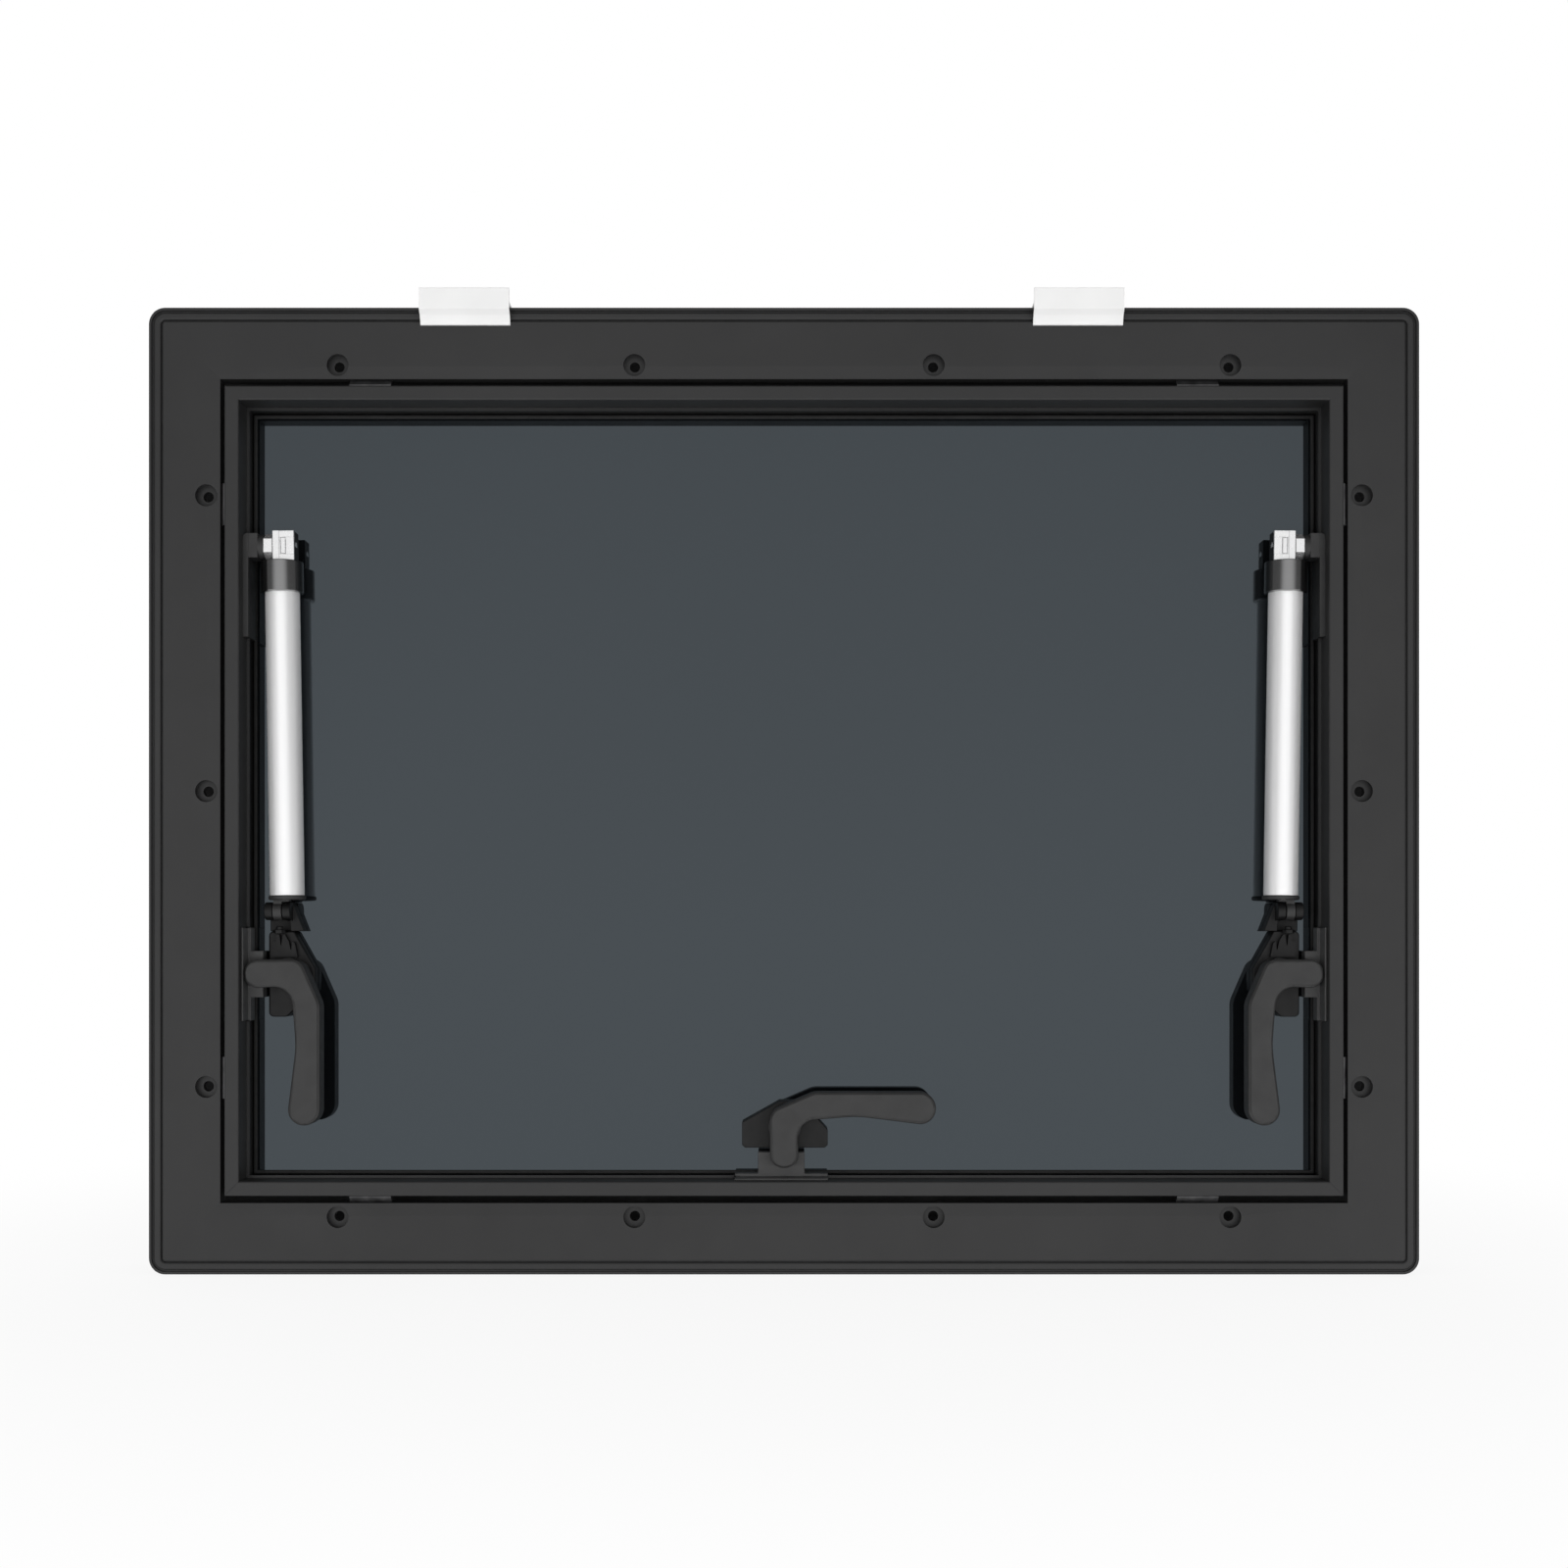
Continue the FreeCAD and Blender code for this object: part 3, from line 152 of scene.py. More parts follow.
class Bench:
    """A material's node tree, with short ways to add its usual nodes."""

    def __init__(self, name: str) -> None:
        """Start a material with a bare principled shader.

        Args:
            name: The material's name.
        """
        self.material = bpy.data.materials.new(name)
        self.material.use_nodes = True
        self.tree = self.material.node_tree
        self.shader = self.tree.nodes["Principled BSDF"]
        self.coordinates = self.tree.nodes.new("ShaderNodeTexCoord").outputs["Object"]

    def fix(self, **values: float | Sequence[float]) -> None:
        """Set constants on the shader's own sockets.

        Args:
            values: Socket names with underscores for spaces, and their values.
        """
        for name, value in values.items():
            self.shader.inputs[name.replace("_", " ")].default_value = value

    def stretched(self, scale: Sequence[float]) -> bpy.types.NodeSocket:
        """Return object coordinates scaled along each axis.

        Args:
            scale: The scale along X, Y and Z.

        Returns:
            The scaled coordinates.
        """
        node = self.tree.nodes.new("ShaderNodeMapping")
        node.inputs["Scale"].default_value = scale
        self.tree.links.new(self.coordinates, node.inputs["Vector"])
        return node.outputs["Vector"]

    def noise(
        self, scale: float, detail: float, vector: bpy.types.NodeSocket | None = None
    ) -> bpy.types.NodeSocket:
        """Add a noise pattern.

        Args:
            scale: The pattern's cells per metre.
            detail: The number of finer layers.
            vector: The coordinates, or None for plain object coordinates.

        Returns:
            The pattern's value.
        """
        node = self.tree.nodes.new("ShaderNodeTexNoise")
        node.inputs["Scale"].default_value = scale
        node.inputs["Detail"].default_value = detail
        self.tree.links.new(vector or self.coordinates, node.inputs["Vector"])
        return node.outputs["Fac"]

    def spread(self, value: bpy.types.NodeSocket, low: float, high: float) -> bpy.types.NodeSocket:
        """Spread a pattern's middle range between two values.

        Args:
            value: The pattern.
            low: The result where the pattern is weak.
            high: The result where it is strong.

        Returns:
            The spread value.
        """
        node = self.tree.nodes.new("ShaderNodeMapRange")
        node.inputs["From Min"].default_value = PATTERN_LOW
        node.inputs["From Max"].default_value = PATTERN_HIGH
        node.inputs["To Min"].default_value = low
        node.inputs["To Max"].default_value = high
        self.tree.links.new(value, node.inputs["Value"])
        return node.outputs["Result"]

    def blend(self, value: bpy.types.NodeSocket, low: Colour, high: Colour) -> bpy.types.NodeSocket:
        """Blend two colours by a pattern.

        Args:
            value: The pattern.
            low: The colour where the pattern is weak.
            high: The colour where it is strong.

        Returns:
            The blended colour.
        """
        node = self.tree.nodes.new("ShaderNodeValToRGB")
        first, last = node.color_ramp.elements
        first.position = PATTERN_LOW
        first.color = (*low, 1.0)
        last.position = PATTERN_HIGH
        last.color = (*high, 1.0)
        self.tree.links.new(value, node.inputs["Fac"])
        return node.outputs["Color"]

    def relief(self, height: bpy.types.NodeSocket, strength: float, depth: float) -> None:
        """Let a pattern stand out as bump.

        Args:
            height: The pattern.
            strength: How strongly it shows.
            depth: Its height in metres.
        """
        node = self.tree.nodes.new("ShaderNodeBump")
        node.inputs["Strength"].default_value = strength
        node.inputs["Distance"].default_value = depth
        self.tree.links.new(height, node.inputs["Height"])
        self.drive("Normal", node.outputs["Normal"])

    def drive(self, socket: str, value: bpy.types.NodeSocket) -> None:
        """Let a pattern drive one of the shader's sockets."""
        self.tree.links.new(value, self.shader.inputs[socket])


class Finish(ABC):
    """How a surface is finished."""

    slot: Slot
    name: str = ""

    @abstractmethod
    def dress(self, bench: Bench) -> None:
        """Build the finish's nodes on a fresh material."""

    def material(self) -> bpy.types.Material:
        """Return the finish's material, made once."""
        name = self.name or self.slot.value + "_finish"
        found = bpy.data.materials.get(name)
        if found:
            return found
        bench = Bench(name)
        self.dress(bench)
        return bench.material


@dataclass(frozen=True)
class PowderCoat(Finish):
    """Satin black powder coat on aluminium rails."""

    slot: Slot = Slot.BLACK_ALUMINIUM
    dark: Colour = (0.0195, 0.0195, 0.0198)
    light: Colour = (0.0235, 0.0235, 0.0238)
    smooth: float = 0.4
    rough: float = 0.47

    def dress(self, bench: Bench) -> None:
        """Give the coat its faint clouding, uneven sheen and fine orange peel."""
        bench.fix(IOR=1.5, Specular_IOR_Level=0.4)
        cloud = bench.noise(9.0, 3.0)
        bench.drive("Base Color", bench.blend(cloud, self.dark, self.light))
        bench.drive("Roughness", bench.spread(bench.noise(60.0, 4.0), self.smooth, self.rough))
        bench.relief(bench.noise(1400.0, 2.0), 0.06, 0.0002)


@dataclass(frozen=True)
class MouldedPlastic(Finish):
    """Black glass-filled plastic with a fine moulded grain."""

    slot: Slot = Slot.BLACK_PLASTIC
    dark: Colour = (0.022, 0.022, 0.0222)
    light: Colour = (0.028, 0.028, 0.0283)
    smooth: float = 0.36
    rough: float = 0.46
    gloss: float = 0.45

    def dress(self, bench: Bench) -> None:
        """Give the plastic its mottled colour and fine grain."""
        bench.fix(IOR=1.5, Specular_IOR_Level=self.gloss)
        bench.drive("Base Color", bench.blend(bench.noise(120.0, 4.0), self.dark, self.light))
        bench.drive("Roughness", bench.spread(bench.noise(220.0, 3.0), self.smooth, self.rough))
        bench.relief(bench.noise(2200.0, 2.0), 0.1, 0.0002)


@dataclass(frozen=True)
class SmokedAcrylic(Finish):
    """Dark smoked acrylic that mirrors what stands before it."""

    slot: Slot = Slot.SMOKED_ACRYLIC
    dark: Colour = (0.0035, 0.0040, 0.0046)
    light: Colour = (0.0045, 0.0052, 0.0060)
    mirror_tint: tuple[float, float, float, float] = (0.77, 0.9, 1.0, 1.0)

    def dress(self, bench: Bench) -> None:
        """Give the sheet its faint tint and near-perfect gloss."""
        bench.fix(IOR=1.6, Specular_IOR_Level=0.76, Specular_Tint=self.mirror_tint)
        bench.drive("Base Color", bench.blend(bench.noise(5.0, 2.0), self.dark, self.light))
        bench.drive("Roughness", bench.spread(bench.noise(14.0, 3.0), 0.015, 0.03))


@dataclass(frozen=True)
class SealRubber(Finish):
    """Matt black sealing rubber."""

    slot: Slot = Slot.RUBBER
    dark: Colour = (0.010, 0.010, 0.010)
    light: Colour = (0.015, 0.015, 0.0152)

    def dress(self, bench: Bench) -> None:
        """Give the rubber its dull bloom and fine texture."""
        bench.fix(IOR=1.5, Specular_IOR_Level=0.35)
        bench.drive("Base Color", bench.blend(bench.noise(80.0, 4.0), self.dark, self.light))
        bench.drive("Roughness", bench.spread(bench.noise(300.0, 3.0), 0.5, 0.66))
        bench.relief(bench.noise(1800.0, 3.0), 0.12, 0.0002)


@dataclass(frozen=True)
class DrawnAluminium(Finish):
    """Bright drawn aluminium tube with faint lines along its length."""

    slot: Slot = Slot.BRIGHT_ALUMINIUM
    dark: Colour = (0.93, 0.93, 0.934)
    light: Colour = (0.965, 0.965, 0.968)

    def dress(self, bench: Bench) -> None:
        """Give the tube its drawn lines and satin sheen."""
        bench.fix(Metallic=0.55)
        lines = bench.noise(1.0, 3.0, bench.stretched((2600.0, 2600.0, 9.0)))
        bench.drive("Base Color", bench.blend(lines, self.dark, self.light))
        bench.drive("Roughness", bench.spread(lines, 0.3, 0.34))


@dataclass(frozen=True)
class BrightSteel(Finish):
    """Zinc-plated steel of the small fittings."""

    slot: Slot = Slot.STEEL
    dark: Colour = (0.9, 0.9, 0.905)
    light: Colour = (0.96, 0.96, 0.963)

    def dress(self, bench: Bench) -> None:
        """Give the plating its uneven brightness and fine grain."""
        bench.fix(Metallic=0.8)
        patches = bench.noise(260.0, 4.0)
        bench.drive("Base Color", bench.blend(patches, self.dark, self.light))
        bench.drive("Roughness", bench.spread(patches, 0.22, 0.36))
        bench.relief(bench.noise(1600.0, 2.0), 0.06, 0.0001)


@dataclass(frozen=True)
class BluedSpring(Finish):
    """Dark spring steel of the tabs in the gap."""

    slot: Slot = Slot.DARK_STEEL
    dark: Colour = (0.05, 0.05, 0.052)
    light: Colour = (0.12, 0.12, 0.122)

    def dress(self, bench: Bench) -> None:
        """Give the steel its patchy dark oxide."""
        bench.fix(Metallic=0.8)
        patches = bench.noise(180.0, 4.0)
        bench.drive("Base Color", bench.blend(patches, self.dark, self.light))
        bench.drive("Roughness", bench.spread(patches, 0.34, 0.5))


@dataclass(frozen=True)
class DarkAnodised(Finish):
    """Dark polished cap of the stay, which shows the room as one soft streak."""

    slot: Slot = Slot.BLACK_PLASTIC
    name: str = "cap_finish"
    dark: Colour = (0.275, 0.275, 0.277)
    light: Colour = (0.285, 0.285, 0.287)

    def dress(self, bench: Bench) -> None:
        """Give the cap its dark sheen with faint turning lines."""
        bench.fix(Metallic=1.0)
        lines = bench.noise(1.0, 2.0, bench.stretched((60.0, 60.0, 2400.0)))
        bench.drive("Base Color", bench.blend(lines, self.dark, self.light))
        bench.drive("Roughness", bench.spread(lines, 0.19, 0.21))


@dataclass(frozen=True)
class PaintedShadePlastic(MouldedPlastic):
    """Black plastic of the latch bases, stay feet and clamp blocks, made darker and less glossy than the
    moulded plastic as painted shade.
    """

    name: str = "painted_shade_finish"
    # Painted shade: darker colours and less gloss than the moulded plastic, standing in for the shade under
    # the handles and in the recesses.
    dark: Colour = (0.005, 0.005, 0.0052)
    light: Colour = (0.008, 0.008, 0.0082)
    gloss: float = 0.3


@dataclass(frozen=True)
class MattPlastic(MouldedPlastic):
    """The duller plastic of the keepers."""

    name: str = "keeper_finish"
    dark: Colour = (0.05, 0.05, 0.0504)
    light: Colour = (0.057, 0.057, 0.0574)
    gloss: float = 0.25


@dataclass(frozen=True)
class GlossPlastic(Finish):
    """White moulded plastic with a soft gloss."""

    slot: Slot = Slot.WHITE_PLASTIC
    dark: Colour = (0.77, 0.77, 0.767)
    light: Colour = (0.8, 0.8, 0.797)

    def dress(self, bench: Bench) -> None:
        """Give the plastic its faint mottling and soft gloss."""
        bench.fix(IOR=1.48, Specular_IOR_Level=0.5)
        bench.drive("Base Color", bench.blend(bench.noise(40.0, 2.0), self.dark, self.light))
        bench.drive("Roughness", bench.spread(bench.noise(160.0, 3.0), 0.3, 0.4))
        bench.relief(bench.noise(1200.0, 2.0), 0.04, 0.0001)


class Blank:
    """A workpiece in millimetres, shaped with mesh operators and then made a piece."""

    def __init__(self) -> None:
        """Start with an empty mesh."""
        self.mesh = bmesh.new()

    @classmethod
    def plate(
        cls, corners: Sequence[Corner], drawing: Drawing, near: float, far: float, steps: int = 6
    ) -> "Blank":
        """Cut a plate with round corners to an outline.

        Args:
            corners: The outline's corners in order.
            drawing: The plane that the outline is drawn in.
            near: The plate's first level along the third axis.
            far: The plate's last level.
            steps: The number of faces round each corner.

        Returns:
            The plate as a closed blank.
        """
        blank = cls()
        spots = [drawing.point(corner.u, corner.v, near) for corner in corners]
        verts = [blank.mesh.verts.new(spot) for spot in spots]
        blank.mesh.faces.new(verts)
        for index, corner in enumerate(corners):
            if corner.radius > 0.0:
                back = spots[index - 1] - spots[index]
                ahead = spots[(index + 1) % len(spots)] - spots[index]
                reach = corner.radius / math.tan(back.angle(ahead) / 2.0)
                bmesh.ops.bevel(
                    blank.mesh,
                    geom=[verts[index]],
                    offset=reach,
                    offset_type="OFFSET",
                    segments=steps,
                    profile=0.5,
                    affect="VERTICES",
                    material=-1,
                )
        grown = bmesh.ops.extrude_face_region(blank.mesh, geom=blank.mesh.faces[:])
        lifted = [item for item in grown["geom"] if isinstance(item, bmesh.types.BMVert)]
        shift = drawing.point(0.0, 0.0, far - near)
        bmesh.ops.translate(blank.mesh, verts=lifted, vec=shift)
        bmesh.ops.recalc_face_normals(blank.mesh, faces=blank.mesh.faces[:])
        return blank

    @classmethod
    def turned(cls, profile: Sequence[tuple[float, float]], steps: int = 56) -> "Blank":
        """Turn a round piece about Z from half its section.

        Args:
            profile: Radius and height of each point, in order. A closed ring repeats its first point.
            steps: The number of faces round the piece.

        Returns:
            The turned piece as a closed blank.
        """
        blank = cls()
        verts = [blank.mesh.verts.new((radius, 0.0, height)) for radius, height in profile]
        edges = [blank.mesh.edges.new(pair) for pair in zip(verts, verts[1:])]
        bmesh.ops.spin(
            blank.mesh,
            geom=[*verts, *edges],
            cent=(0.0, 0.0, 0.0),
            axis=(0.0, 0.0, 1.0),
            angle=math.tau,
            steps=steps,
            use_merge=True,
            use_duplicate=False,
        )
        bmesh.ops.remove_doubles(blank.mesh, verts=blank.mesh.verts[:], dist=TURNED_MERGE)
        bmesh.ops.recalc_face_normals(blank.mesh, faces=blank.mesh.faces[:])
        return blank

    @classmethod
    def from_solid(cls, node: str) -> "Blank":
        """Take a clean copy of a solid, with its flat faces whole again.

        Args:
            node: The solid's node name.

        Returns:
            The copy as a blank.
        """
        blank = cls()
        blank.mesh.from_mesh(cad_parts[node].data)
        bmesh.ops.scale(blank.mesh, vec=(1.0 / MM,) * 3, verts=blank.mesh.verts[:])
        bmesh.ops.remove_doubles(blank.mesh, verts=blank.mesh.verts[:], dist=SOLID_MERGE)
        bmesh.ops.dissolve_limit(
            blank.mesh,
            angle_limit=math.radians(FLAT_ANGLE),
            verts=blank.mesh.verts[:],
            edges=blank.mesh.edges[:],
        )
        return blank

    def cut_level(self, height: float, keep_above: bool) -> None:
        """Cut the blank across at a height, and close the cut.

        Args:
            height: The height of the cut.
            keep_above: Whether the part above is kept, or the part below.
        """
        bmesh.ops.bisect_plane(
            self.mesh,
            geom=[*self.mesh.verts, *self.mesh.edges, *self.mesh.faces],
            plane_co=(0.0, 0.0, height),
            plane_no=(0.0, 0.0, 1.0),
            clear_inner=keep_above,
            clear_outer=not keep_above,
        )
        rim = [edge for edge in self.mesh.edges if edge.is_boundary]
        bmesh.ops.holes_fill(self.mesh, edges=rim)
        bmesh.ops.recalc_face_normals(self.mesh, faces=self.mesh.faces[:])

    def join(self, other: "Blank") -> None:
        """Take another blank's shells into this one."""
        carrier = bpy.data.meshes.new("carrier")
        other.mesh.to_mesh(carrier)
        other.mesh.free()
        self.mesh.from_mesh(carrier)
        bpy.data.meshes.remove(carrier)

    def move(self, matrix: Matrix) -> None:
        """Move the whole blank."""
        bmesh.ops.transform(self.mesh, matrix=matrix, verts=self.mesh.verts[:])

    def round_off(self, chosen: Callable[[bmesh.types.BMEdge], bool], width: float, segments: int) -> None:
        """Round the chosen edges.

        Args:
            chosen: Says whether an edge is rounded.
            width: How far the rounding reaches along each face.
            segments: The number of faces across the rounding.
        """
        edges = [edge for edge in self.mesh.edges if chosen(edge)]
        bmesh.ops.bevel(
            self.mesh,
            geom=edges,
            offset=width,
            offset_type="OFFSET",
            segments=segments,
            profile=0.5,
            affect="EDGES",
            material=-1,
            clamp_overlap=True,
        )

    def soften(self, width: float, segments: int = 2, angle: float = SHARP_ANGLE) -> None:
        """Round every edge that turns sharply.

        Args:
            width: How far the rounding reaches along each face.
            segments: The number of faces across the rounding.
            angle: The least turn of a sharp edge, in degrees.
        """
        least = math.radians(angle)
        self.round_off(lambda edge: edge.is_manifold and edge.calc_face_angle() > least, width, segments)

    def piece(self, name: str, body: str, finish: Finish, *nodes: str) -> None:
        """Make the blank a finished piece that stands for its solids.

        Args:
            name: The piece's name.
            body: The body that it moves with.
            finish: Its finish.
            nodes: The solids that it stands for.
        """
        bmesh.ops.scale(self.mesh, vec=(MM,) * 3, verts=self.mesh.verts[:])
        mesh = bpy.data.meshes.new(name)
        self.mesh.to_mesh(mesh)
        self.mesh.free()
        mesh.shade_smooth()
        mesh.set_sharp_from_angle(angle=math.radians(SHARP_ANGLE))
        mesh.materials.append(finish.material())
        item = bpy.data.objects.new(name, mesh)
        bpy.context.scene.collection.objects.link(item)
        weighting = item.modifiers.new("even_normals", "WEIGHTED_NORMAL")
        weighting.keep_sharp = True
        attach(item, body)
        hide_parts(*nodes)
        LOG.info("%s: %d faces on %s", name, len(mesh.polygons), body)


def dress_solid(node: str, name: str, body: str, finish: Finish, edge: float, segments: int = 2) -> None:
    """Copy a solid, round its sharp edges and make it a piece.

    Args:
        node: The solid's node name.
        name: The piece's name.
        body: The body that it moves with.
        finish: Its finish.
        edge: How far its edges are rounded.
        segments: The number of faces across the rounding.
    """
    blank = Blank.from_solid(node)
    blank.soften(edge, segments)
    blank.piece(name, body, finish, node)


@dataclass
class WallFrame:
    """The frame through the wall: four collar rails, the gasket and the hinge rail."""

    edge: float = 0.2
    gasket_edge: float = 0.9
    finish: Finish = PowderCoat()
    rubber: Finish = SealRubber()

    def build(self) -> None:
        """Build the frame's pieces."""
        for side in ("top", "bottom", "left", "right"):
            dress_solid(f"outer_frame_{side}", f"collar_rail_{side}", "frame", self.finish, self.edge)
        dress_solid("hinge_rail", "hinge_channel", "frame", self.finish, self.edge)
        dress_solid("outer_gasket", "flange_gasket", "frame", self.rubber, self.gasket_edge, 3)


@dataclass
class TrimRing:
    """The clamp ring indoors, with its spring tabs and the two white clips."""

    outer_half_width: float = 350.2
    outer_half_height: float = 266.5
    edge: float = 0.25
    collar_half_width: float = 308.0
    collar_half_height: float = 223.0
    side_gap: float = 2.9
    row_gap: float = 4.2
    tab_x: float = 228.0
    tab_z: float = 158.0
    tab_half: float = 11.5
    tab_seat: float = 0.1
    tab_lip: float = 0.9
    tab_front: float = -40.3
    tab_lip_front: float = -40.4
    tab_crest: float = -37.2
    tab_back: float = -33.6
    tab_hollow: float = 0.6
    tab_edge: float = 0.12
    mitre_width: float = 0.02
    clip_middles: tuple[float, float] = (-175.4, 161.8)
    clip_half: float = 24.7
    clip_rise: float = 8.9
    clip_corner: float = 2.8
    clip_edge: float = 0.2
    clip_bend: float = 50.0
    # Depth, height over the ring's top edge and radius of each corner of the clip's section.
    clip_section: tuple[tuple[float, float, float], ...] = (
        (-40.05, -10.2, 0.3),
        (-40.6, -7.4, 3.0),
        (-42.4, -4.4, 3.0),
        (-45.0, -1.9, 0.0),
        (-45.0, 0.05, 0.0),
        (-31.6, 0.05, 0.2),
        (-31.6, 1.6, 0.6),
        (-45.0, 1.6, 0.5),
        (-45.0, clip_rise, 0.4),
        (-46.6, clip_rise, 0.5),
        (-46.6, -2.7, 0.3),
        (-43.7, -5.3, 3.0),
        (-42.1, -8.0, 3.0),
        (-41.65, -10.2, 0.4),
    )
    finish: Finish = PowderCoat()
    spring: Finish = BluedSpring()
    white: Finish = GlossPlastic()

    def build(self) -> None:
        """Build the ring's pieces."""
        for side in ("top", "bottom", "left", "right"):
            self.build_rail(side)
        self.build_tabs()
        for side, middle in zip(("left", "right"), self.clip_middles):
            self.build_clip(side, middle)

    def on_mitre(self, edge: bmesh.types.BMEdge) -> bool:
        """Say whether an edge lies in a mitre, where the coat runs over the joint."""
        lead = self.outer_half_width - self.outer_half_height
        return all(
            abs(abs(vert.co.x) - abs(vert.co.z - CENTRE_Z) - lead) < self.mitre_width for vert in edge.verts
        )

    def build_rail(self, side: str) -> None:
        """Build one side of the ring.

        Args:
            side: The side's name.
        """
        rail = Blank.from_solid(f"inner_trim_{side}")
        least = math.radians(SHARP_ANGLE)
        rail.round_off(
            lambda edge: edge.is_manifold and edge.calc_face_angle() > least and not self.on_mitre(edge),
            self.edge,
            2,
        )
        rail.piece(f"trim_rail_{side}", "frame", self.finish, f"inner_trim_{side}")

    def leaf(self, drawing: Drawing, side: float, near: float, gap: float, middle: float) -> Blank:
        """Bend one spring tab across the gap.

        Args:
            drawing: The plane of the tab's section.
            side: The sign of the side that it stands on.
            near: The collar's face, measured from the window's middle.
            gap: The width of the gap.
            middle: The tab's middle along the gap.

        Returns:
            The tab.
        """
        crest = gap - self.tab_seat
        section = [
            (self.tab_seat, self.tab_front),
            (self.tab_lip, self.tab_lip_front),
            (crest, self.tab_crest),
            (self.tab_lip, self.tab_back),
            (self.tab_seat, self.tab_back),
            (crest - self.tab_hollow, self.tab_crest),
        ]
        corners = []
        for across, depth in section:
            out = side * (near + across)
            if drawing is Drawing.SIDE:
                corners.append(Corner(depth, CENTRE_Z + out))
            else:
                corners.append(Corner(out, depth))
        tab = Blank.plate(corners, drawing, middle - self.tab_half, middle + self.tab_half)
        tab.soften(self.tab_edge)
        return tab

    def build_tabs(self) -> None:
        """Build the eight spring tabs as one piece."""
        tabs = Blank()
        for side in (-1.0, 1.0):
            for shift in (-self.tab_x, self.tab_x):
                tabs.join(self.leaf(Drawing.SIDE, side, self.collar_half_height, self.row_gap, shift))
            for shift in (-self.tab_z, self.tab_z):
                middle = CENTRE_Z + shift
                tabs.join(self.leaf(Drawing.FLOOR, side, self.collar_half_width, self.side_gap, middle))
        tabs.piece("spring_tabs", "frame", self.spring, "trim_clips")

    def build_clip(self, side: str, middle: float) -> None:
        """Build one white clip hooked over the ring's top edge.

        Args:
            side: The clip's side.
            middle: Its middle along X.
        """
        top = CENTRE_Z + self.outer_half_height
        section = [Corner(depth, top + rise, radius) for depth, rise, radius in self.clip_section]
        clip = Blank.plate(section, Drawing.SIDE, middle - self.clip_half, middle + self.clip_half, 4)
        high = top + self.clip_rise
        clip.round_off(
            lambda edge: all(math.isclose(vert.co.z, high, abs_tol=0.01) for vert in edge.verts)
            and math.isclose(edge.verts[0].co.x, edge.verts[1].co.x, abs_tol=0.01),
            self.clip_corner,
            5,
        )
        clip.soften(self.clip_edge, 2, self.clip_bend)
        clip.piece(f"white_clip_{side}", "frame", self.white, f"edge_clip_{side}")


@dataclass
class Sash:
    """The sash: two panes, the spacer between them, the seal and the hinge bar."""

    inner_half_width: float = 298.0
    inner_half_height: float = 213.0
    inner_near: float = -13.5
    inner_far: float = -10.5
    outer_half_width: float = 320.0
    outer_bottom: float = 7.0
    outer_top: float = 464.0
    outer_near: float = 9.0
    outer_far: float = 13.0
    outer_radius: float = 12.0
    outer_steps: int = 10
    inner_edge: float = 0.4
    outer_edge: float = 0.9
    seal_edge: float = 0.3
    bar_edge: float = 0.25
    acrylic: Finish = SmokedAcrylic()
    plastic: Finish = MouldedPlastic()
    rubber: Finish = SealRubber()
    metal: Finish = PowderCoat()

    def sheet(self, half: float, low: float, high: float, radius: float) -> list[Corner]:
        """Return the outline of a pane.

        Args:
            half: Half the pane's width.
            low: Its bottom.
            high: Its top.
            radius: Its corner radius.

        Returns:
            The outline's corners.
        """
        return [
            Corner(-half, low, radius),
            Corner(half, low, radius),
            Corner(half, high, radius),
            Corner(-half, high, radius),
        ]

    def build(self) -> None:
        """Build the sash's pieces."""
        low = CENTRE_Z - self.inner_half_height
        high = CENTRE_Z + self.inner_half_height
        corners = self.sheet(self.inner_half_width, low, high, 0.0)
        pane = Blank.plate(corners, Drawing.FRONT, self.inner_near, self.inner_far)
        pane.soften(self.inner_edge)
        pane.piece("room_pane", "sash", self.acrylic, "inner_pane")
        corners = self.sheet(self.outer_half_width, self.outer_bottom, self.outer_top, self.outer_radius)
        pane = Blank.plate(corners, Drawing.FRONT, self.outer_near, self.outer_far, self.outer_steps)
        pane.soften(self.outer_edge, 3)
        pane.piece("weather_pane", "sash", self.acrylic, "outer_pane")
        dress_solid("pane_spacer", "spacer_frame", "sash", self.plastic, self.seal_edge)
        dress_solid("sash_seal", "room_seal", "sash", self.rubber, self.seal_edge)
        dress_solid("hinge_bar", "hinge_strip", "sash", self.metal, self.bar_edge)


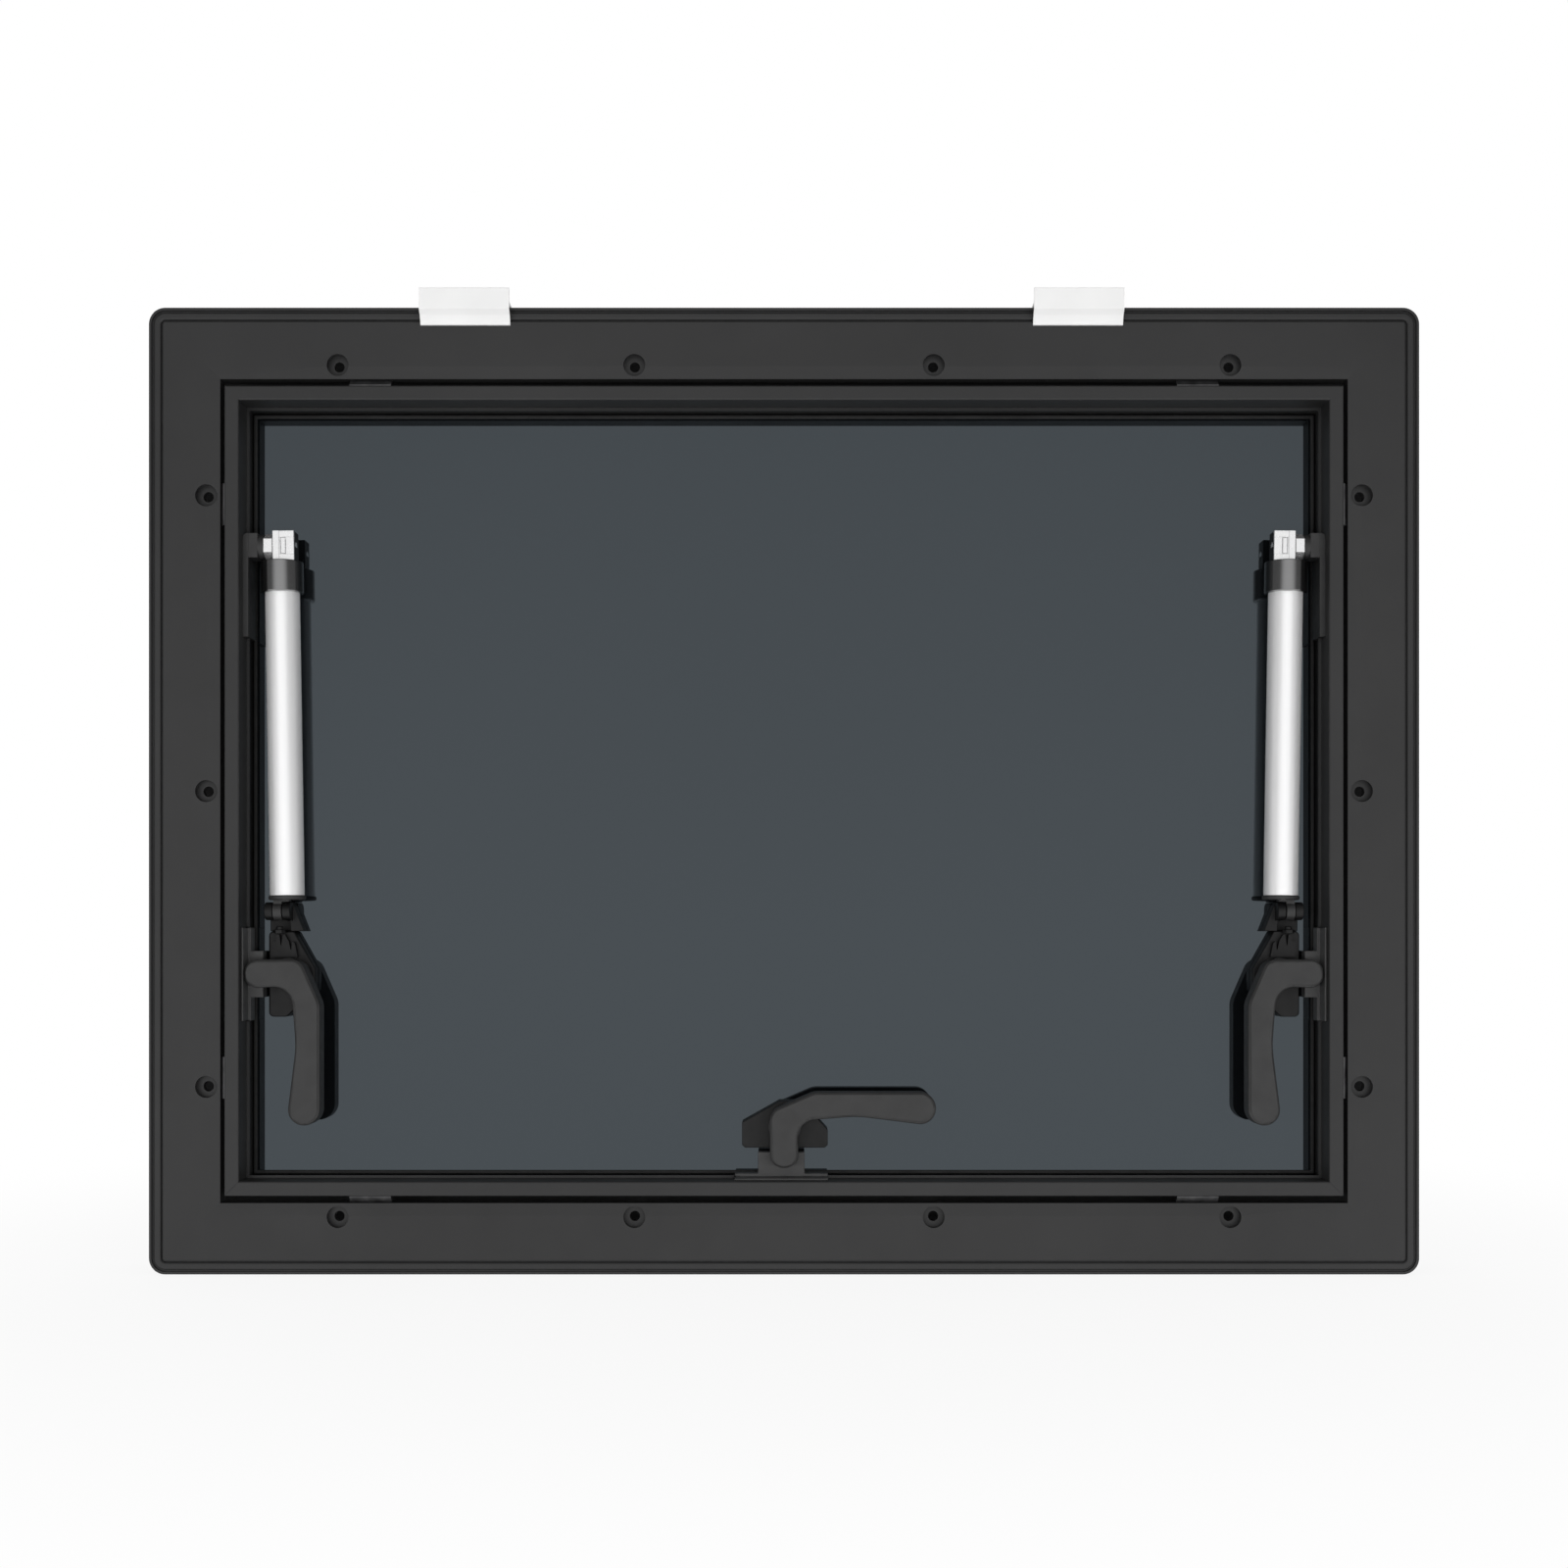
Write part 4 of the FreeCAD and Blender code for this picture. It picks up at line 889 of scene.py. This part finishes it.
@dataclass
class Stay:
    """One telescopic stay: bracket, bolt, clamp, cap, tube, end ring, rod and foot."""

    hand: Hand
    bracket_edge: float = 0.9
    bolt_edge: float = 0.35
    pivot_x: float = 280.0
    pivot_y: float = -27.0
    pivot_z: float = 378.8
    foot_x: float = 277.0
    foot_y: float = -26.0
    foot_z: float = 176.0
    cap_radius: float = 11.7
    cap_top: float = -8.3
    cap_bottom: float = -25.8
    cap_round: float = 0.7
    cap_round_middle: float = 0.2
    cap_play: float = 0.05
    tube_radius: float = 9.5
    bore_radius: float = 8.5
    tube_top: float = -12.5
    tube_end: float = 8.7
    tube_top_round: float = 0.3
    tube_round: float = 0.4
    tube_round_middle: float = 0.1
    ring_radius: float = 10.2
    ring_length: float = 2.4
    ring_top_round: float = 0.5
    ring_round: float = 0.6
    eye_top: float = 182.35
    rod_edge: float = 0.3
    eye_edge: float = 0.4
    clamp_shift: float = 2.2
    clamp_width: float = 11.6
    clamp_half: float = 8.25
    clamp_back: float = 6.0
    plate_back: float = -3.4
    groove_floor: float = -3.8
    plate_face: float = -5.6
    column_width: float = 3.4
    column_face: float = -6.0
    window_gap: float = 0.6
    window_width: float = 3.3
    window_rise: float = 4.7
    groove_width: float = 0.5
    clamp_edge: float = 0.3
    plate_edge: float = 0.2
    layer_edge: float = 0.12
    stud_x: float = 281.7
    stud_y: float = -24.9
    stud_radius: float = 1.95
    stud_top: float = 167.6
    nut_across: float = 5.8
    nut_low: float = 163.5
    nut_high: float = 165.8
    nut_edge: float = 0.4
    stud_edge: float = 0.4
    foot_edge: float = 0.7
    block_edge: float = 0.3
    block_corner: float = 0.25
    block_back: float = -22.0
    block_front: float = -25.3
    block_outline: tuple[tuple[float, float], ...] = (
        (285.9, 150.4),
        (285.9, 159.3),
        (283.8, 159.3),
        (283.4, 162.9),
        (281.7, 162.9),
        (280.9, 155.6),
        (279.9, 162.9),
        (278.6, 162.9),
        (276.6, 159.4),
        (275.2, 153.4),
        (274.8, 159.4),
        (273.2, 158.3),
        (271.6, 150.4),
    )
    plastic: Finish = MouldedPlastic()
    # Painted shade: the clamp block and the foot take the darkened copy of the black plastic.
    painted_shade: Finish = PaintedShadePlastic()
    polished: Finish = DarkAnodised()
    aluminium: Finish = DrawnAluminium()
    steel: Finish = BrightSteel()

    @property
    def pivot(self) -> Vector:
        """Return the stay's top pivot."""
        return Vector((self.hand.sign * self.pivot_x, self.pivot_y, self.pivot_z))

    @property
    def line(self) -> Vector:
        """Return the line from the top pivot to the foot's pivot."""
        return Vector((self.hand.sign * self.foot_x, self.foot_y, self.foot_z)) - self.pivot

    @property
    def tube_bottom(self) -> float:
        """Return the height of the tube's lower end below the top pivot."""
        return self.tube_end - self.line.length

    def set_in_place(self, blank: Blank) -> None:
        """Lean a blank that is drawn about the top pivot along the stay, and set it in place.

        Args:
            blank: The blank.
        """
        lean = Vector((0.0, 0.0, -1.0)).rotation_difference(self.line)
        blank.move(Matrix.Translation(self.pivot) @ lean.to_matrix().to_4x4())

    def build(self) -> None:
        """Build the stay's pieces."""
        side = self.hand.value
        for part, finish, edge in (
            (f"stay_bracket_{side}", self.plastic, self.bracket_edge),
            (f"stay_bolt_{side}", self.steel, self.bolt_edge),
        ):
            dress_solid(part, f"{part}_piece", "frame", finish, edge, 3)
        self.build_clamp()
        self.build_cap()
        self.build_tube()
        self.build_ring()
        self.build_rod()
        self.build_foot()

    def build_clamp(self) -> None:
        """Build the clamp: a black block behind a bright plate with a column and a framed window."""
        side = self.hand.value
        inward = -self.hand.sign
        outer = inward * (self.clamp_shift - self.clamp_width / 2.0)
        inner = inward * (self.clamp_shift + self.clamp_width / 2.0)
        high = self.clamp_half
        block = self.layer(outer, inner, -high, high, self.clamp_back, self.plate_back, self.clamp_edge)
        self.set_in_place(block)
        node = f"stay_clamp_{side}"
        body = f"{side}_stay_tube"
        block.piece(f"{node}_block", body, self.painted_shade, node)
        column = outer + inward * self.column_width
        window = column + inward * self.window_gap
        past = window + inward * self.window_width
        rise = self.window_rise
        groove = self.groove_width
        plate = self.layer(outer, inner, -high, high, self.plate_back, self.groove_floor, self.plate_edge)
        for near, far, low, top, face in (
            (outer, column, -high, high, self.column_face),
            (column, inner, rise, high, self.plate_face),
            (column, inner, -high, -rise, self.plate_face),
            (past, inner, -rise, rise, self.plate_face),
            (column, window, -rise, rise, self.plate_face),
            (window + inward * groove, past - inward * groove, groove - rise, rise - groove, self.plate_face),
        ):
            plate.join(self.layer(near, far, low, top, self.groove_floor, face, self.layer_edge))
        self.set_in_place(plate)
        plate.piece(f"{node}_plate", body, self.steel, node)

    @staticmethod
    def layer(
        near: float, far: float, low: float, high: float, back: float, front: float, edge: float
    ) -> Blank:
        """Cut an upright rectangle as one layer of the clamp.

        Args:
            near: One side.
            far: The other side.
            low: The bottom.
            high: The top.
            back: The layer's back along Y.
            front: Its front along Y.
            edge: How far its edges are rounded.

        Returns:
            The layer.
        """
        corners = [Corner(near, low), Corner(far, low), Corner(far, high), Corner(near, high)]
        layer = Blank.plate(corners, Drawing.FRONT, back, front)
        layer.soften(edge)
        return layer

    def build_rod(self) -> None:
        """Build the steel rod and the black eye at its end."""
        side = self.hand.value
        node = f"stay_rod_{side}"
        rod = Blank.from_solid(node)
        rod.cut_level(self.eye_top, keep_above=True)
        rod.soften(self.rod_edge)
        rod.piece(f"stay_rod_{side}_bar", f"{side}_stay_rod", self.steel, node)
        eye = Blank.from_solid(node)
        eye.cut_level(self.eye_top, keep_above=False)
        eye.soften(self.eye_edge)
        eye.piece(f"stay_rod_{side}_eye", f"{side}_stay_rod", self.plastic, node)

    def build_foot(self) -> None:
        """Build the foot on the glass, with its notched block over the latch base and a small stud."""
        side = self.hand.value
        sign = self.hand.sign
        foot = Blank.from_solid(f"stay_foot_{side}")
        foot.soften(self.foot_edge, 3)
        outline = [
            Corner(sign * across, height, self.block_corner) for across, height in self.block_outline
        ]
        block = Blank.plate(outline, Drawing.FRONT, self.block_back, self.block_front, 3)
        block.soften(self.block_edge)
        foot.join(block)
        reach = self.nut_across / 2.0 / math.cos(math.pi / 6.0)
        hexagon = []
        for corner in range(6):
            turn = math.radians(60.0 * corner)
            across = sign * self.stud_x + reach * math.cos(turn)
            hexagon.append(Corner(across, self.stud_y + reach * math.sin(turn)))
        nut = Blank.plate(hexagon, Drawing.FLOOR, self.nut_low, self.nut_high)
        nut.soften(self.nut_edge)
        foot.join(nut)
        stud = Blank.turned([
            (0.0, self.nut_low),
            (self.stud_radius, self.nut_low),
            (self.stud_radius, self.stud_top - self.stud_edge),
            (self.stud_radius - self.stud_edge, self.stud_top),
            (0.0, self.stud_top),
        ], 24)
        stud.move(Matrix.Translation((sign * self.stud_x, self.stud_y, 0.0)))
        foot.join(stud)
        foot.piece(f"stay_foot_{side}_block", "sash", self.painted_shade, f"stay_foot_{side}")

    def build_cap(self) -> None:
        """Turn the black cap that holds the tube."""
        side = self.hand.value
        bore = self.tube_radius + self.cap_play
        cap = Blank.turned([
            (0.0, self.cap_top),
            (self.cap_radius - self.cap_round, self.cap_top),
            (self.cap_radius - self.cap_round_middle, self.cap_top - self.cap_round_middle),
            (self.cap_radius, self.cap_top - self.cap_round),
            (self.cap_radius, self.cap_bottom + self.cap_round),
            (self.cap_radius - self.cap_round_middle, self.cap_bottom + self.cap_round_middle),
            (self.cap_radius - self.cap_round, self.cap_bottom),
            (bore, self.cap_bottom),
            (bore, self.tube_top),
            (0.0, self.tube_top),
        ])
        self.set_in_place(cap)
        cap.piece(f"stay_collar_cap_{side}", f"{side}_stay_tube", self.polished, f"stay_cap_{side}")

    def build_tube(self) -> None:
        """Turn the bright tube with a small round on each end."""
        side = self.hand.value
        tube = Blank.turned([
            (self.bore_radius, self.tube_top),
            (self.tube_radius - self.tube_top_round, self.tube_top),
            (self.tube_radius, self.tube_top - self.tube_top_round),
            (self.tube_radius, self.tube_bottom + self.tube_round),
            (self.tube_radius - self.tube_round_middle, self.tube_bottom + self.tube_round_middle),
            (self.tube_radius - self.tube_round, self.tube_bottom),
            (self.bore_radius, self.tube_bottom),
            (self.bore_radius, self.tube_top),
        ])
        self.set_in_place(tube)
        tube.piece(f"stay_sleeve_{side}", f"{side}_stay_tube", self.aluminium, f"stay_tube_{side}")

    def build_ring(self) -> None:
        """Turn the black end ring under the tube."""
        side = self.hand.value
        low = self.tube_bottom - self.ring_length
        ring = Blank.turned([
            (self.bore_radius, self.tube_bottom),
            (self.ring_radius - self.ring_top_round, self.tube_bottom),
            (self.ring_radius, self.tube_bottom - self.ring_top_round),
            (self.ring_radius, low + self.ring_round),
            (self.ring_radius - self.ring_round, low),
            (self.bore_radius, low),
            (self.bore_radius, self.tube_bottom),
        ])
        self.set_in_place(ring)
        ring.piece(f"stay_end_ring_{side}", f"{side}_stay_tube", self.plastic, f"stay_end_{side}")


@dataclass
class Latch:
    """One turning latch: base, handle and keeper."""

    place: Place
    base_edge: float = 1.2
    keeper_edge: float = 0.6
    handle_edge: float = 0.5
    face_depth: float = 0.05
    crown_steps: tuple[tuple[float, float], ...] = ((0.7, 0.22), (0.9, 0.18), (1.1, 0.13), (1.3, 0.08))
    handle_front: float = -38.0
    finish: Finish = MouldedPlastic()
    # Painted shade: the latch base takes the darkened copy of the black plastic, standing in for the handle's
    # shade.
    painted_shade: Finish = PaintedShadePlastic()
    matt: Finish = MattPlastic()

    def build(self) -> None:
        """Build the latch's pieces."""
        side = self.place.value
        self.build_handle()
        dress_solid(f"latch_base_{side}", f"latch_block_{side}", "sash", self.painted_shade, self.base_edge, 3)
        dress_solid(f"keeper_{side}", f"latch_keeper_{side}", "frame", self.matt, self.keeper_edge, 3)

    def build_handle(self) -> None:
        """Build the lever with its nose and a slightly crowned face."""
        side = self.place.value
        handle = Blank.from_solid(f"handle_{side}")
        level = self.handle_front + self.face_depth
        front = [face for face in handle.mesh.faces if face.calc_center_median().y < level]
        for width, rise in self.crown_steps:
            bmesh.ops.inset_region(handle.mesh, faces=front, thickness=width, depth=rise)
        handle.soften(self.handle_edge, 3)
        handle.piece(f"latch_handle_{side}", f"{side}_handle", self.finish, f"handle_{side}")


@dataclass
class Studio:
    """The pale floor, the even white room, one soft lamp and the camera."""

    floor_size: float = 14.0
    floor_white: float = 0.9
    floor_drop: float = 0.0005
    floor_near: float = 0.88
    fade_start: float = 0.3
    fade_end: float = 0.8
    room_light: float = 0.68
    front_start: float = 0.66
    front_end: float = 0.985
    fall_end: float = 0.6
    side_dark: float = 0.19
    high_dim: float = 0.72
    lamp_power: float = 8.5
    lamp_width: float = 2.4
    lamp_height: float = 0.08
    lamp_spot: tuple[float, float, float] = (0.0, -0.95, 0.03)
    lens: float = 46.25
    sensor: float = 36.0
    view_start: float = 0.01
    view_end: float = 60.0
    camera_y: float = -1.15
    camera_z: float = 0.1586
    camera_rise: float = 0.101

    def build(self) -> None:
        """Set up the studio."""
        self.build_floor()
        self.build_room()
        self.build_lamp()
        self.build_camera()
        bpy.context.scene.view_settings.view_transform = "Standard"

    @staticmethod
    def combine(
        tree: bpy.types.NodeTree, operation: str, *values: bpy.types.NodeSocket
    ) -> bpy.types.NodeSocket:
        """Combine some values by one operation, in turn.

        Args:
            tree: The node tree to work in.
            operation: The maths node's operation.
            values: The values.

        Returns:
            The combined value.
        """
        total = values[0]
        for value in values[1:]:
            node = tree.nodes.new("ShaderNodeMath")
            node.operation = operation
            tree.links.new(total, node.inputs[0])
            tree.links.new(value, node.inputs[1])
            total = node.outputs["Value"]
        return total

    @staticmethod
    def ramp(
        tree: bpy.types.NodeTree, value: bpy.types.NodeSocket, kind: str, *limits: float
    ) -> bpy.types.NodeSocket:
        """Map a value from one range to another.

        Args:
            tree: The node tree to work in.
            value: The value.
            kind: How it is interpolated.
            limits: The start and end of the first range, then of the second.

        Returns:
            The mapped value.
        """
        node = tree.nodes.new("ShaderNodeMapRange")
        node.interpolation_type = kind
        for name, limit in zip(("From Min", "From Max", "To Min", "To Max"), limits):
            node.inputs[name].default_value = limit
        tree.links.new(value, node.inputs["Value"])
        return node.outputs["Result"]

    @staticmethod
    def mix(
        tree: bpy.types.NodeTree,
        share: bpy.types.NodeSocket,
        first: bpy.types.NodeSocket,
        second: bpy.types.NodeSocket,
    ) -> bpy.types.NodeSocket:
        """Mix two shaders.

        Args:
            tree: The node tree to work in.
            share: The second shader's share.
            first: The first shader.
            second: The second shader.

        Returns:
            The mixed shader.
        """
        node = tree.nodes.new("ShaderNodeMixShader")
        tree.links.new(share, node.inputs["Fac"])
        tree.links.new(first, node.inputs[1])
        tree.links.new(second, node.inputs[2])
        return node.outputs["Shader"]

    @staticmethod
    def background(tree: bpy.types.NodeTree, strength: float) -> bpy.types.Node:
        """Add a white background of a given strength, and return its node."""
        node = tree.nodes.new("ShaderNodeBackground")
        node.inputs["Color"].default_value = (1.0, 1.0, 1.0, 1.0)
        node.inputs["Strength"].default_value = strength
        return node

    def build_floor(self) -> None:
        """Lay a pale floor under the window, white to the eye but still taking its shadow."""
        shape = bmesh.new()
        bmesh.ops.create_grid(shape, x_segments=1, y_segments=1, size=self.floor_size / 2.0)
        bmesh.ops.translate(shape, verts=shape.verts[:], vec=(0.0, 0.0, CAD_BOX[0].z - self.floor_drop))
        mesh = bpy.data.meshes.new("floor")
        shape.to_mesh(mesh)
        shape.free()
        floor = bpy.data.objects.new("floor", mesh)
        bpy.context.scene.collection.objects.link(floor)
        material = bpy.data.materials.new("pale_floor")
        material.use_nodes = True
        tree = material.node_tree
        tree.nodes.clear()
        matt = tree.nodes.new("ShaderNodeBsdfDiffuse")
        matt.inputs["Color"].default_value = (self.floor_white,) * 3 + (1.0,)
        glow = tree.nodes.new("ShaderNodeEmission")
        glow.inputs["Color"].default_value = (1.0, 1.0, 1.0, 1.0)
        spot = tree.nodes.new("ShaderNodeTexCoord")
        away = tree.nodes.new("ShaderNodeVectorMath")
        away.operation = "LENGTH"
        tree.links.new(spot.outputs["Object"], away.inputs[0])
        fade = self.ramp(
            tree, away.outputs["Value"], "SMOOTHSTEP", self.fade_start, self.fade_end, self.floor_near, 1.0
        )
        path = tree.nodes.new("ShaderNodeLightPath").outputs
        share = self.combine(tree, "MULTIPLY", path["Is Camera Ray"], fade)
        seen = self.combine(tree, "MAXIMUM", share, path["Is Glossy Ray"], path["Is Transmission Ray"])
        mixed = self.mix(tree, seen, matt.outputs["BSDF"], glow.outputs["Emission"])
        output = tree.nodes.new("ShaderNodeOutputMaterial")
        tree.links.new(mixed, output.inputs["Surface"])
        mesh.materials.append(material)

    def build_room(self) -> None:
        """Make the room: an even light, white to the eye, with dark sides for mirrors."""
        world = bpy.data.worlds.new("studio_room")
        bpy.context.scene.world = world
        world.use_nodes = True
        tree = world.node_tree
        tree.nodes.clear()
        direction = tree.nodes.new("ShaderNodeTexCoord")
        split = tree.nodes.new("ShaderNodeSeparateXYZ")
        tree.links.new(direction.outputs["Generated"], split.inputs["Vector"])
        facing = tree.nodes.new("ShaderNodeMath")
        facing.operation = "ABSOLUTE"
        tree.links.new(split.outputs["Y"], facing.inputs[0])
        front = self.ramp(
            tree, facing.outputs["Value"], "SMOOTHSTEP", self.front_start, self.front_end, self.side_dark, 1.0
        )
        fall = self.ramp(tree, split.outputs["Z"], "LINEAR", 0.0, self.fall_end, 1.0, self.high_dim)
        mirrored = self.background(tree, 1.0)
        tree.links.new(self.combine(tree, "MULTIPLY", front, fall), mirrored.inputs["Strength"])
        even = self.background(tree, self.room_light).outputs["Background"]
        white = self.background(tree, 1.0).outputs["Background"]
        path = tree.nodes.new("ShaderNodeLightPath").outputs
        seen = self.mix(tree, path["Is Glossy Ray"], white, mirrored.outputs["Background"])
        rays = [path[f"Is {kind} Ray"] for kind in ("Camera", "Glossy", "Transmission")]
        mixed = self.mix(tree, self.combine(tree, "MAXIMUM", *rays), even, seen)
        output = tree.nodes.new("ShaderNodeOutputWorld")
        tree.links.new(mixed, output.inputs["Surface"])

    def build_lamp(self) -> None:
        """Stand one wide soft lamp low before the window, which mirrors don't show."""
        lamp = bpy.data.lights.new("soft_lamp", "AREA")
        lamp.shape = "RECTANGLE"
        lamp.size = self.lamp_width
        lamp.size_y = self.lamp_height
        lamp.energy = self.lamp_power
        item = bpy.data.objects.new("soft_lamp", lamp)
        bpy.context.scene.collection.objects.link(item)
        item.location = self.lamp_spot
        item.visible_glossy = False
        aim = Vector((0.0, 0.0, CENTRE_Z * MM)) - item.location
        item.rotation_euler = aim.to_track_quat("-Z", "Y").to_euler()

    def build_camera(self) -> None:
        """Set the camera square to the window, low, with the frame shifted up."""
        data = bpy.data.cameras.new("photo_camera")
        data.lens = self.lens
        data.sensor_width = self.sensor
        data.shift_y = self.camera_rise
        data.clip_start = self.view_start
        data.clip_end = self.view_end
        camera = bpy.data.objects.new("photo_camera", data)
        bpy.context.scene.collection.objects.link(camera)
        camera.location = (0.0, self.camera_y, self.camera_z)
        camera.rotation_euler = (math.radians(90.0), 0.0, 0.0)
        bpy.context.scene.camera = camera


def main() -> None:
    """Build the window's sub-assemblies and the studio in order."""
    logging.basicConfig(level=logging.INFO, format="%(message)s")
    WallFrame().build()
    TrimRing().build()
    Sash().build()
    for hand in Hand:
        Stay(hand).build()
    for place in Place:
        Latch(place).build()
    Studio().build()


if __name__ == "__main__":
    main()
